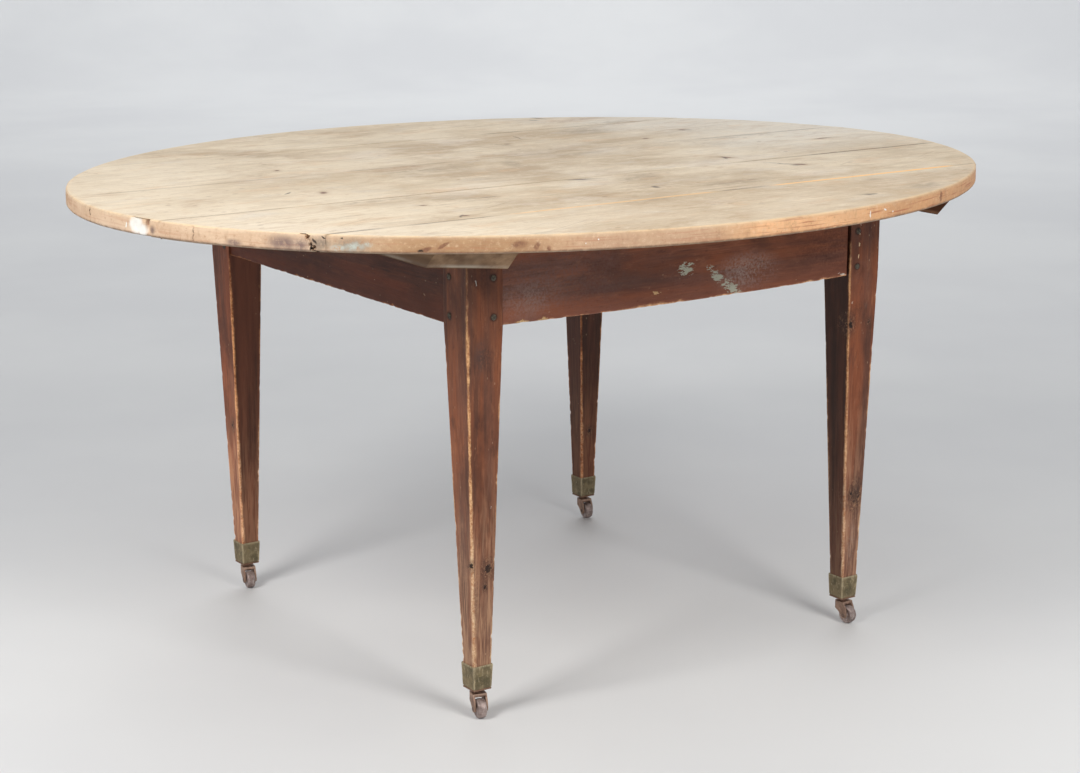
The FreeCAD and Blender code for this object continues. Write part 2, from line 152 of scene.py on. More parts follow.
def cylinders(specs, seg=28):
    """One mesh of separate closed cylinders: (base mm, unit axis, length mm, radius mm)."""
    verts, faces = [], []
    for base, axis, length, radius in specs:
        w = Vector(axis).normalized()
        u = w.orthogonal().normalized()
        v = w.cross(u)
        k = len(verts)
        for h in (0.0, length):
            for i in range(seg):
                a = 2 * math.pi * i / seg
                p = Vector(base) + w * h + (u * math.cos(a) + v * math.sin(a)) * radius
                verts.append(tuple(p))
        faces += [(k + i, k + (i + 1) % seg, k + seg + (i + 1) % seg, k + seg + i) for i in range(seg)]
        faces.append(tuple(k + i for i in range(seg))[::-1])
        faces.append(tuple(k + seg + i for i in range(seg)))
    return build("cutter", verts, faces)


def rework(node, bevel_mm, segments=2, angle=32.0):
    """New piece from a node's own mesh: welded, flat faces joined, edges eased."""
    me = NODES[node].data.copy()
    me.name = node + "_mesh"
    bm = bmesh.new()
    bm.from_mesh(me)
    bmesh.ops.remove_doubles(bm, verts=bm.verts, dist=2e-6)
    bmesh.ops.dissolve_limit(bm, angle_limit=math.radians(0.6), verts=bm.verts, edges=bm.edges)
    edges = [e for e in bm.edges if len(e.link_faces) == 2 and e.calc_face_angle(0.0) > math.radians(angle)]
    if bevel_mm:
        bmesh.ops.bevel(bm, geom=edges, offset=bevel_mm * MM, offset_type="OFFSET", segments=segments,
                        profile=0.5, affect="EDGES", clamp_overlap=True)
    bmesh.ops.remove_doubles(bm, verts=bm.verts, dist=1e-6)
    bmesh.ops.dissolve_degenerate(bm, edges=bm.edges, dist=1e-6)
    bmesh.ops.recalc_face_normals(bm, faces=bm.faces)
    bm.to_mesh(me)
    bm.free()
    if me.has_custom_normals:
        a = me.attributes.get("custom_normal")
        if a:
            me.attributes.remove(a)
    me.materials.clear()
    me.shade_smooth()
    me.set_sharp_from_angle(angle=math.radians(40.0))
    ob = bpy.data.objects.new(node + "_worn", me)
    bpy.context.scene.collection.objects.link(ob)
    return ob


def settle(ob, node, body, mat):
    ob.data.materials.clear()
    ob.data.materials.append(mat)
    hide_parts(node)
    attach(ob, body)
    return ob


# ------------------------------------------------------------------ shader helpers
def srgb(r, g, b):
    def f(c):
        c /= 255.0
        return c / 12.92 if c <= 0.04045 else ((c + 0.055) / 1.055) ** 2.4
    return (f(r), f(g), f(b))


class Nodes:
    def __init__(self, name):
        self.mat = bpy.data.materials.new(name)
        self.mat.use_nodes = True
        self.t = self.mat.node_tree
        self.t.nodes.clear()
        out = self.t.nodes.new("ShaderNodeOutputMaterial")
        self.bsdf = self.t.nodes.new("ShaderNodeBsdfPrincipled")
        self.t.links.new(self.bsdf.outputs[0], out.inputs[0])
        self.P = self.v("ADD", self.t.nodes.new("ShaderNodeTexCoord").outputs["Object"], (0.0, 0.0, DATUM * MM))
        sep = self.t.nodes.new("ShaderNodeSeparateXYZ")
        self.t.links.new(self.P, sep.inputs[0])
        self.x, self.y, self.z = sep.outputs

    def put(self, sock, v):
        if isinstance(v, bpy.types.NodeSocket):
            self.t.links.new(v, sock)
        elif isinstance(v, (tuple, list)) and sock.type == "RGBA":
            sock.default_value = (*v[:3], 1.0)
        else:
            sock.default_value = v

    def m(self, op, a, b=None, c=None, clamp=False):
        n = self.t.nodes.new("ShaderNodeMath")
        n.operation, n.use_clamp = op, clamp
        for i, v in enumerate((a, b, c)):
            if v is not None:
                self.put(n.inputs[i], v)
        return n.outputs[0]

    def add(self, a, b):
        return self.m("ADD", a, b)

    def sub(self, a, b):
        return self.m("SUBTRACT", a, b)

    def mul(self, a, b):
        return self.m("MULTIPLY", a, b)

    def mx(self, *vals):
        r = vals[0]
        for v in vals[1:]:
            r = self.m("MAXIMUM", r, v)
        return r

    def inv(self, a):
        return self.m("SUBTRACT", 1.0, a)

    def v(self, op, a, b=None):
        n = self.t.nodes.new("ShaderNodeVectorMath")
        n.operation = op
        self.put(n.inputs[0], a)
        if b is not None:
            self.put(n.inputs[1], b)
        return n.outputs["Value"] if op in ("LENGTH", "DOT_PRODUCT", "DISTANCE") else n.outputs[0]

    def at(self, scale, offset=(0.0, 0.0, 0.0)):
        return self.v("MULTIPLY", self.v("ADD", self.P, offset), scale)

    def turned(self, deg, scale, offset=(0.0, 0.0, 0.0)):
        n = self.t.nodes.new("ShaderNodeMapping")
        n.vector_type = "POINT"
        self.t.links.new(self.v("ADD", self.P, offset), n.inputs["Vector"])
        n.inputs["Rotation"].default_value = (0.0, 0.0, math.radians(deg))
        return self.v("MULTIPLY", n.outputs[0], scale)

    def torn(self, mask, noise, amount=1.5):
        """A soft mask broken up by a noise, with crisp ragged outlines."""
        return self.mul(self.ramp(self.add(mask, self.mul(self.sub(self.ramp(noise, 0.36, 0.64, smooth=False), 0.5), amount)), 0.44, 0.58), self.ramp(mask, 0.0, 0.12))

    def noise(self, vec, detail=3.0, rough=0.5, scale=1.0, dist=0.0):
        n = self.t.nodes.new("ShaderNodeTexNoise")
        self.put(n.inputs["Vector"], vec)
        n.inputs["Scale"].default_value = scale
        n.inputs["Detail"].default_value = detail
        n.inputs["Roughness"].default_value = rough
        n.inputs["Distortion"].default_value = dist
        return n.outputs[0]

    def voronoi(self, vec, scale=1.0, feature="F1", rand=1.0):
        n = self.t.nodes.new("ShaderNodeTexVoronoi")
        n.feature = feature
        self.put(n.inputs["Vector"], vec)
        n.inputs["Scale"].default_value = scale
        n.inputs["Randomness"].default_value = rand
        return n.outputs

    def ramp(self, v, a, b, c=0.0, d=1.0, smooth=True):
        n = self.t.nodes.new("ShaderNodeMapRange")
        n.interpolation_type = "SMOOTHSTEP" if smooth else "LINEAR"
        n.clamp = True
        for k, val in zip(("Value", "From Min", "From Max", "To Min", "To Max"), (v, a, b, c, d)):
            self.put(n.inputs[k], val)
        return n.outputs[0]

    def mix(self, fac, a, b, blend="MIX"):
        n = self.t.nodes.new("ShaderNodeMix")
        n.data_type, n.blend_type = "RGBA", blend
        n.clamp_factor = True
        self.put(n.inputs[0], fac)
        self.put(n.inputs[6], a)
        self.put(n.inputs[7], b)
        return n.outputs[2]

    def attr(self, name):
        n = self.t.nodes.new("ShaderNodeAttribute")
        n.attribute_name = name
        return n.outputs["Fac"]

    def ragged(self, amp, freq, offset=(0.0, 0.0, 0.0)):
        """Coordinate with its outlines roughened by amp mm, used by every mark."""
        n = self.t.nodes.new("ShaderNodeTexNoise")
        self.put(n.inputs["Vector"], self.at(freq, offset))
        n.inputs["Scale"].default_value = 1.0
        n.inputs["Detail"].default_value = 4.0
        n.inputs["Roughness"].default_value = 0.65
        d = self.v("MULTIPLY", self.v("SUBTRACT", n.outputs[1], (0.5, 0.5, 0.5)), tuple(2.0 * v * MM for v in amp))
        self.PW = self.v("ADD", self.P, d)

    def spot(self, centre, radii, rot=(0.0, 0.0, 0.0), soft=0.6):
        """Soft ellipsoid mask about a point (mm): 1 inside, 0 outside."""
        n = self.t.nodes.new("ShaderNodeMapping")
        n.vector_type = "TEXTURE"
        self.t.links.new(self.PW, n.inputs["Vector"])
        n.inputs["Location"].default_value = tuple(c * MM for c in centre)
        n.inputs["Rotation"].default_value = tuple(math.radians(r) for r in rot)
        n.inputs["Scale"].default_value = tuple(r * MM for r in radii)
        return self.ramp(self.v("LENGTH", n.outputs[0]), 1.0 - soft, 1.0, 1.0, 0.0)

    def flat(self, x, y, rx, ry, deg=0.0, soft=0.6):
        return self.spot((x, y, Z_TOP), (rx, ry, 80.0), (0.0, 0.0, deg), soft)

    def rim(self, theta, z, half, tall, lean=0.0, soft=0.6):
        t = math.radians(theta)
        p = (A * math.cos(t), B * math.sin(t), z)
        turn = math.degrees(math.atan2(B * math.cos(t), -A * math.sin(t)))
        return self.spot(p, (half, 30.0, tall), (0.0, lean, turn), soft)

    def bump(self, height, strength, distance):
        n = self.t.nodes.new("ShaderNodeBump")
        n.inputs["Strength"].default_value = strength
        n.inputs["Distance"].default_value = distance
        self.put(n.inputs["Height"], height)
        self.t.links.new(n.outputs[0], self.bsdf.inputs["Normal"])

    def finish(self, colour, rough, metallic=0.0, specular=0.5):
        self.put(self.bsdf.inputs["Base Color"], colour)
        self.put(self.bsdf.inputs["Roughness"], rough)
        self.bsdf.inputs["Metallic"].default_value = metallic
        self.bsdf.inputs["Specular IOR Level"].default_value = specular
        return self.mat


# ------------------------------------------------------------------ pine of the top
# marks on the scrubbed surface: kind, x, y, half length, half width, turn in degrees
TOP_MARKS = [
    ("knot", -373, -364, 8, 6, 0), ("knot", -375, -251, 6, 5, 0), ("knot", 114, 257, 6, 6, 0),
    ("knot", 362, 179, 9, 6, 0), ("knot", 319, -101, 13, 7, -60), ("knot", -376, 193, 6, 6, 60),
    ("knot", 365, -236, 12, 8, -40), ("knot", 622, -2, 22, 5, 0), ("knot", 495, 243, 9, 7, 0),
    ("knot", -432, -61, 12, 6, 60),
    ("smear", -330, 387, 60, 34, -40), ("smear", -367, -548, 30, 9, -3), ("smear", 230, -540, 22, 12, 4),
    ("smear", -20, -175, 34, 20, -30), ("smear", 60, -200, 60, 34, 20), ("smear", 345, -430, 20, 14, 0),
    ("smear", -70, -400, 80, 9, 0), ("smear", 340, 330, 70, 60, 30), ("smear", -20, 40, 18, 44, -20),
    ("smear", 150, 80, 60, 12, 0), ("smear", -180, 60, 90, 40, 0), ("smear", 150, -330, 90, 24, 4),
    ("smear", 370, -520, 50, 30, 20), ("smear", -410, -170, 90, 18, 0), ("smear", 520, 100, 150, 12, 0),
    ("smear", 420, 400, 110, 40, 10), ("smear", -290, -240, 60, 22, -30),
    ("dark", -36, -168, 26, 7, -20), ("dark", 345, -210, 34, 3, -62), ("dark", 352, -238, 10, 5, -50),
    ("dark", 500, 237, 14, 4, -30), ("dark", 380, 541, 22, 5, -60), ("dark", 353, 521, 14, 4, -60),
    ("dark", -250, -238, 16, 3, -10), ("dark", -380, -364, 14, 3, 50), ("dark", 313, -104, 18, 4, 70),
    ("dark", 100, 250, 26, 2, -70), ("dark", 180, 320, 30, 1.6, 75), ("dark", -480, -35, 16, 3, 40),
    ("dark", 15, -300, 14, 6, 70), ("dark", 235, -545, 14, 5, 0),
    ("brown", -650, -59, 16, 22, 0), ("brown", 31, -292, 8, 16, 0), ("brown", -630, -165, 60, 5, 0),
    ("brown", -200, 95, 90, 26, 0), ("brown", 420, 480, 90, 22, 4), ("brown", 300, -60, 70, 3, 0),
    ("brown", -190, -60, 24, 5, 60), ("brown", -560, -370, 70, 4, 0), ("brown", 480, 392, 60, 9, 0),
]
# seams: stretches (from x, to x, strength) where dirt shows
SEAMS = {
    -390.0: ((-640, -530, 0.85), (-475, -345, 0.80), (75, 160, 0.90), (555, 640, 0.35)),
    -158.0: ((-770, -540, 0.40), (-500, -60, 0.30), (300, 520, 0.40), (450, 740, 0.72)),
    117.0: ((-720, -400, 0.55), (-290, -90, 0.62), (-60, 420, 0.45), (430, 735, 0.88)),
    395.0: ((160, 240, 0.95), (240, 420, 0.35), (-420, 120, 0.15)),
}
# marks on the rim: kind, angle round the oval, height, half width, half height, lean in degrees
RIM_MARKS = [
    ("white", 189.8, 748, 17, 17, 0), ("white", 191.0, 742, 12, 12, 0), ("white", 281.9, 747, 1.6, 8, 0),
    ("white", 284.5, 749, 5, 2.0, 20), ("white", 286.0, 745, 3, 1.6, 0), ("white", 187.9, 746, 2.0, 6, 15),
    ("white", 246.9, 750, 1.4, 1.3, 0), ("white", 245.6, 745, 1.2, 1.1, 0),
    ("black", 192.35, 743, 2.4, 9, 0), ("black", 200.0, 747, 0.9, 11, 0), ("black", 219.4, 755, 2, 1.6, 0),
    ("black", 178.0, 747, 1.2, 12, 0), ("black", 165.0, 747, 1.2, 12, 0), ("black", 228.0, 738.5, 5, 2.2, 0),
    ("brown", 191.8, 754, 5, 6, 0), ("brown", 228.6, 741, 12, 4.0, -14), ("brown", 230.6, 747, 12, 3.2, -26),
    ("brown", 240.4, 744, 5, 8, 14), ("brown", 241.6, 741, 4, 5, 0), ("brown", 297.7, 748, 6, 11, 0),
    ("purple", 212.4, 745, 36, 17, 0), ("purple", 214.6, 743, 16, 15, 0), ("brown", 238.6, 747, 14, 7, 0), ("purple", 206.0, 741, 18, 7, 0),
    ("purple", 193.2, 745, 9, 10, 0), ("grey", 217.0, 746, 26, 17, 0), ("grey", 220.4, 745, 40, 16, 0), ("paint", 220.8, 744, 24, 9, -8),
    ("paint", 219.0, 741, 14, 6, 0), ("paint", 222.4, 747, 9, 5, 10), ("black", 215.8, 742, 2.0, 9, 6), ("black", 216.2, 750, 2.0, 7, -38),
    ("black", 217.3, 755, 1.2, 5, -60),
]


def top_pine(name, seed, pith_y, pith_z, tilt, ylo, yhi):
    n = Nodes(name)
    off = (1.7 * seed, 0.9 * seed, 0.4 * seed)
    n.ragged((7.0, 5.0, 3.0), (42.0, 60.0, 60.0), off)
    warp = n.noise(n.at((1.7, 6.0, 6.0), off), 3.0, 0.55)
    warp2 = n.noise(n.at((0.9, 3.2, 3.2), off), 2.0, 0.5)
    yy = n.add(n.sub(n.y, pith_y * MM), n.mul(n.sub(warp, 0.5), 0.055))
    zz = n.add(n.add(n.sub(n.z, pith_z * MM), n.mul(n.x, tilt)), n.mul(n.sub(warp2, 0.5), 0.06))
    radius = n.m("SQRT", n.add(n.mul(yy, yy), n.mul(zz, zz)))
    phase = n.m("FRACT", n.mul(radius, 190.0))
    late = n.mul(n.m("POWER", phase, 2.2), n.ramp(phase, 0.88, 1.0, 1.0, 0.0))
    cloud = n.noise(n.at((4.0, 7.0, 7.0)), 8.0, 0.62, dist=0.3)
    soil = n.noise(n.at((4.2, 6.5, 6.5), (4.0, 1.0, 0.0)), 8.0, 0.64, dist=0.3)
    wash = n.noise(n.at((3.8, 6.5, 6.5), (9.0, 3.0, 0.0)), 8.0, 0.62, dist=0.3)
    mottle = n.noise(n.at((45.0, 95.0, 95.0), off), 5.0, 0.66, dist=0.4)
    streak = n.noise(n.at((3.4, 60.0, 60.0), off), 5.0, 0.62, dist=0.3)
    fibre = n.noise(n.at((9.0, 420.0, 420.0), off), 4.0, 0.6)
    wide = n.noise(n.at((1.1, 2.4, 2.4), off), 3.0, 0.5)
    patch = n.noise(n.at((15.0, 30.0, 30.0), off), 6.0, 0.68, dist=0.2)

    tint = n.noise(n.at((9.0, 17.0, 17.0), (2.0, 7.0, 0.0)), 7.0, 0.68, dist=0.2)
    hair = n.noise(n.at((5.0, 150.0, 150.0), off), 3.0, 0.6, dist=0.2)
    gate = n.noise(n.at((5.0, 9.0, 9.0), (7.0, 2.0, 0.0)), 4.0, 0.6)

    pale, straw, tan = srgb(222, 204, 176), srgb(198, 176, 144), srgb(176, 146, 108)
    col = n.mix(n.ramp(cloud, 0.36, 0.62), straw, pale)
    col = n.mix(n.ramp(soil, 0.50, 0.68, 0.0, 0.52), col, srgb(168, 142, 110))
    col = n.mix(n.ramp(wash, 0.53, 0.68, 0.0, 0.50), col, srgb(228, 214, 197))
    # bleached stretch towards the right-hand back end, partly real bleaching and partly a painted sheen of reflected
    # light; a creamier other end, a soiled middle
    far_bleach_and_sheen = n.mul(n.ramp(n.add(n.x, n.mul(n.sub(wash, 0.5), 0.9)), 0.16, 0.62), n.ramp(n.add(n.y, n.mul(n.sub(soil, 0.5), 0.5)), -0.30, 0.12))
    col = n.mix(n.mul(far_bleach_and_sheen, 0.64), col, srgb(223, 217, 206))
    lip = n.mul(n.ramp(n.y, -0.30, -0.46), n.ramp(n.x, -0.45, -0.15))
    col = n.mix(n.mul(lip, 0.30), col, srgb(188, 162, 130))
    near = n.ramp(n.add(n.x, n.mul(n.sub(wide, 0.5), 0.6)), -0.25, -0.65)
    col = n.mix(n.mul(near, 0.60), col, srgb(234, 219, 195))
    mid = n.mul(n.ramp(n.m("ABSOLUTE", n.sub(n.x, 0.04)), 0.10, 0.46, 1.0, 0.0),
                n.ramp(n.m("ABSOLUTE", n.add(n.y, 0.02)), 0.12, 0.46, 1.0, 0.0))
    col = n.mix(n.mul(n.mul(mid, n.ramp(soil, 0.36, 0.60)), 0.38), col, srgb(162, 138, 108))
    # grain, scrub marks and stains
    col = n.mix(n.mul(late, 0.24), col, tan)
    col = n.mix(n.ramp(patch, 0.53, 0.70, 0.0, 0.34), col, srgb(236, 219, 192))
    col = n.mix(n.ramp(patch, 0.32, 0.47, 0.36, 0.0), col, srgb(180, 146, 108))
    col = n.mix(n.ramp(tint, 0.54, 0.70, 0.0, 0.36), col, srgb(212, 172, 126))
    col = n.mix(n.ramp(tint, 0.32, 0.46, 0.30, 0.0), col, srgb(206, 196, 184))
    col = n.mix(n.ramp(mottle, 0.55, 0.72, 0.0, 0.26), col, srgb(245, 232, 210))
    col = n.mix(n.ramp(mottle, 0.30, 0.45, 0.30, 0.0), col, srgb(170, 134, 98))
    peck = n.noise(n.at((130.0, 420.0, 420.0), off), 4.0, 0.7)
    col = n.mix(n.ramp(peck, 0.28, 0.40, 0.46, 0.0), col, srgb(150, 114, 80))
    col = n.mix(n.ramp(peck, 0.60, 0.74, 0.0, 0.36), col, srgb(246, 234, 214))
    for deg, sc, tone, k in ((34.0, (5.0, 330.0, 1.0), srgb(236, 224, 202), 0.42), (-27.0, (6.0, 360.0, 1.0), srgb(140, 108, 78), 0.36), (71.0, (7.0, 340.0, 1.0), srgb(148, 116, 84), 0.32)):
        scr = n.noise(n.turned(deg, sc, off), 2.0, 0.5)
        on = n.ramp(n.noise(n.turned(deg, (5.0, 9.0, 1.0), (off[0] + deg, off[1], 0.0)), 3.0, 0.6), 0.50, 0.60)
        col = n.mix(n.mul(n.mul(n.ramp(scr, 0.64, 0.71), on), k), col, tone)
    col = n.mix(n.ramp(streak, 0.58, 0.74, 0.0, 0.26), col, srgb(240, 224, 198))
    col = n.mix(n.ramp(n.add(streak, n.mul(n.sub(soil, 0.5), -0.5)), 0.27, 0.41, 0.30, 0.0), col, srgb(172, 134, 94))
    col = n.mix(n.mul(n.ramp(hair, 0.32, 0.38, 1.0, 0.0), n.ramp(gate, 0.50, 0.62, 0.0, 0.50)), col, srgb(132, 98, 68))
    fine = n.ramp(fibre, 0.30, 0.70, 0.89, 1.08, smooth=False)
    col = n.mix(1.0, col, n.v("MULTIPLY", (1.0, 1.0, 1.0), fine), "MULTIPLY")

    groups = {}
    for kind, x, y, rx, ry, deg in TOP_MARKS:
        if ylo - 30 < y < yhi + 30:
            groups.setdefault(kind, []).append(n.flat(x, y, rx * 1.25, ry * 1.25, deg, 0.85))
            if kind == "knot":
                groups.setdefault("halo", []).append(n.flat(x, y, rx * 3.2, ry * 2.6, deg, 0.95))
    tone = {"smear": (srgb(138, 120, 98), 0.50), "halo": (srgb(160, 126, 90), 0.45), "brown": (srgb(164, 126, 90), 0.55),
            "knot": (srgb(108, 70, 48), 0.92), "dark": (srgb(80, 64, 52), 0.84)}
    masks = {}
    for kind in ("smear", "halo", "brown", "knot", "dark"):
        if kind in groups:
            masks[kind] = n.mx(*groups[kind])
            c, k = tone[kind]
            if kind in ("smear", "brown"):
                masks[kind] = n.mul(masks[kind], n.ramp(n.add(mottle, n.mul(n.sub(cloud, 0.5), 0.8)), 0.34, 0.62, 1.0, 0.20))
            col = n.mix(n.mul(masks[kind], k), col, c)
    # short knife nicks, pin knots and pale specks
    nick = n.voronoi(n.at((26.0, 44.0, 44.0), off))
    cutm = n.mul(n.ramp(nick["Distance"], 0.08, 0.17, 1.0, 0.0), n.ramp(n.noise(n.at((5.0, 7.0, 7.0), off), 3.0), 0.48, 0.62))
    col = n.mix(n.mul(cutm, 0.46), col, srgb(124, 92, 66))
    cell = n.voronoi(n.at((8.0, 13.0, 13.0), off))
    pin = n.mul(n.ramp(cell["Distance"], 0.028, 0.060, 1.0, 0.0), n.ramp(n.noise(n.at((3.0, 5.0, 5.0), off)), 0.52, 0.60))
    col = n.mix(n.mul(pin, 0.6), col, srgb(104, 76, 56))
    speck = n.voronoi(n.at((34.0, 60.0, 60.0), off))
    white = n.mul(n.ramp(speck["Distance"], 0.06, 0.11, 1.0, 0.0), n.ramp(n.noise(n.at((9.0, 9.0, 9.0), off)), 0.60, 0.70))
    col = n.mix(n.mul(white, 0.6), col, srgb(242, 236, 226))

    # dirt in the seams, darker in open stretches; a thin pale orange line along two stretches of one seam
    seam_d, seam_pale_line = [], []
    for j, yj in enumerate(JOINTS):
        if not (abs(yj - ylo) < 2 or abs(yj - yhi) < 2):
            continue
        d = n.m("ABSOLUTE", n.sub(n.y, yj * MM))
        run = n.noise(n.at((24.0, 3.0, 3.0), (seed + j, 0.3 * j, 0.0)), 4.0, 0.68)
        dirt = n.mx(*[n.mul(n.mul(n.ramp(n.x, (a - 25) * MM, (a + 20) * MM), n.ramp(n.x, (b - 20) * MM, (b + 25) * MM, 1.0, 0.0)), s) for a, b, s in SEAMS[yj]])
        width = n.add(0.0008, n.mul(run, n.add(0.0020, n.mul(dirt, 0.0044))))
        line = n.ramp(n.m("DIVIDE", d, width), 0.30, 1.0, 1.0, 0.0)
        seam_d.append(n.mul(line, n.add(0.30, n.mul(dirt, 0.62))))
        soft = n.mul(n.mul(n.ramp(d, 0.001, 0.014, 1.0, 0.0), n.ramp(mottle, 0.36, 0.60)), dirt)
        seam_d.append(n.mul(soft, 0.30))
        if j == 0:
            pale_stretch = n.mx(n.mul(n.ramp(n.x, 0.16, 0.20), n.ramp(n.x, 0.54, 0.57, 1.0, 0.0)),
                         n.mul(n.mul(n.ramp(n.x, -0.33, -0.28), n.ramp(n.x, 0.04, 0.07, 1.0, 0.0)), 0.45))
            seam_pale_line.append(n.mul(n.ramp(d, 0.0034, 0.0070, 1.0, 0.0), n.mul(pale_stretch, n.ramp(run, 0.25, 0.50, 0.65, 1.0))))
    if seam_d:
        col = n.mix(n.mx(*seam_d), col, n.mix(n.ramp(n.mx(*seam_d), 0.35, 0.75), srgb(126, 90, 58), srgb(62, 45, 33)))
    if seam_pale_line:
        col = n.mix(n.mx(*seam_pale_line), col, srgb(246, 196, 128))

    # rim: warmer, handled wood, creamy and dusty at one end, with a painted highlight along its upper edge
    rim, arris_highlight, under = n.attr("rim"), n.attr("arris_highlight"), n.attr("under")
    spread = n.noise(n.at((14.0, 14.0, 30.0), off), 5.0, 0.62)
    endg = n.noise(n.at((75.0, 75.0, 30.0), off), 5.0, 0.66)
    mott = n.noise(n.at((170.0, 170.0, 170.0), off), 5.0, 0.70)
    lines = n.noise(n.at((12.0, 12.0, 330.0), off), 3.0, 0.6)
    edge = n.mix(n.ramp(spread, 0.35, 0.66), srgb(206, 168, 130), srgb(190, 150, 114))
    amber = n.mul(n.ramp(n.x, -0.64, -0.58), n.ramp(n.x, -0.42, -0.34, 1.0, 0.0))
    edge = n.mix(n.mul(amber, 0.85), edge, n.mix(n.ramp(spread, 0.35, 0.66), srgb(178, 140, 102), srgb(162, 124, 90)))
    pink = n.mul(n.ramp(n.x, -0.40, -0.30), n.ramp(n.x, -0.17, -0.07, 1.0, 0.0))
    edge = n.mix(n.mul(pink, 0.70), edge, srgb(196, 162, 134))
    gold = n.mul(n.ramp(n.x, -0.15, -0.04), n.ramp(n.x, 0.70, 0.78, 1.0, 0.0))
    edge = n.mix(n.mul(gold, n.ramp(spread, 0.30, 0.62, 0.92, 0.55)), edge, n.mix(n.ramp(n.x, 0.07, 0.24), srgb(248, 192, 142), srgb(212, 156, 108)))
    cream = n.mul(n.ramp(n.x, -0.52, -0.64), n.ramp(n.y, 0.3, 0.0))
    edge = n.mix(n.mul(cream, n.ramp(spread, 0.30, 0.62, 0.92, 0.55)), edge, srgb(226, 198, 170))
    edge = n.mix(n.ramp(endg, 0.50, 0.74, 0.0, 0.30), edge, srgb(150, 110, 82))
    edge = n.mix(n.ramp(mott, 0.50, 0.74, 0.0, 0.42), edge, srgb(234, 206, 174))
    edge = n.mix(n.ramp(mott, 0.32, 0.44, 0.45, 0.0), edge, srgb(170, 118, 84))
    edge = n.mix(n.ramp(lines, 0.52, 0.68, 0.0, n.ramp(n.x, -0.14, 0.04, 0.30, 0.80)), edge, srgb(176, 102, 68))
    edge = n.mix(n.mul(n.ramp(n.z, 0.7395, 0.7355), n.ramp(endg, 0.34, 0.56, 0.4, 1.0)), edge, srgb(118, 80, 56))
    col = n.mix(rim, col, edge)
    # painted highlight: a pale line along the rim's upper rounding and the top's outer margin, where lamp light glints
    painted_edge_highlight = n.mul(arris_highlight, n.ramp(n.noise(n.at((40.0, 40.0, 40.0), off), 4.0, 0.66), 0.32, 0.60, 0.20, 1.0))
    col = n.mix(n.mul(painted_edge_highlight, 0.62), col, srgb(238, 206, 162))
    rims = {}
    for kind, th, z, half, tall, lean in RIM_MARKS:
        yc = B * math.sin(math.radians(th))
        if ylo - 14 < yc < yhi + 14 or (ylo < -600 and yc < -380) or (yhi > 600 and yc > 380):
            rims.setdefault(kind, []).append(n.rim(th, z, half, tall, lean, 0.9 if kind in ("purple", "grey", "paint") else 0.55))
    face = n.ramp(rim, 0.15, 0.5)
    rt = {"purple": (srgb(120, 98, 94), 0.88), "grey": (srgb(138, 122, 106), 0.90), "brown": (srgb(120, 74, 54), 0.78),
          "paint": (srgb(190, 194, 184), 0.95), "white": (srgb(240, 238, 232), 0.96), "black": (srgb(36, 25, 20), 0.92)}
    for kind in ("purple", "grey", "brown", "paint", "white", "black"):
        if kind in rims:
            c, k = rt[kind]
            msk = n.mul(n.mx(*rims[kind]), face)
            if kind in ("purple", "paint", "brown", "grey"):
                msk = n.mul(msk, n.ramp(n.add(n.mul(mott, 0.6), n.mul(endg, 0.4)), 0.40, 0.54, 0.0 if kind == "paint" else 0.45, 1.0))
            col = n.mix(n.mul(msk, k), col, c)
    # raw, dusty underside
    raw = n.mix(n.ramp(streak, 0.35, 0.65), srgb(120, 92, 66), srgb(150, 120, 88))
    raw = n.mix(n.mul(late, 0.35), raw, srgb(96, 70, 48))
    col = n.mix(under, col, raw)

    rough = n.add(0.46, n.mul(soil, 0.26))
    height = n.add(n.add(n.mul(fibre, 0.40), n.mul(late, -0.25)), n.add(n.mul(streak, 0.4), n.mul(mottle, 0.5)))
    height = n.sub(height, n.mul(cutm, 0.6))
    if "dark" in masks:
        height = n.sub(height, n.mul(masks["dark"], 0.9))
    if "knot" in masks:
        height = n.add(height, n.mul(masks["knot"], 0.4))
    n.bump(height, 0.40, 0.0009)
    return n.finish(col, rough, 0.0, 0.42)


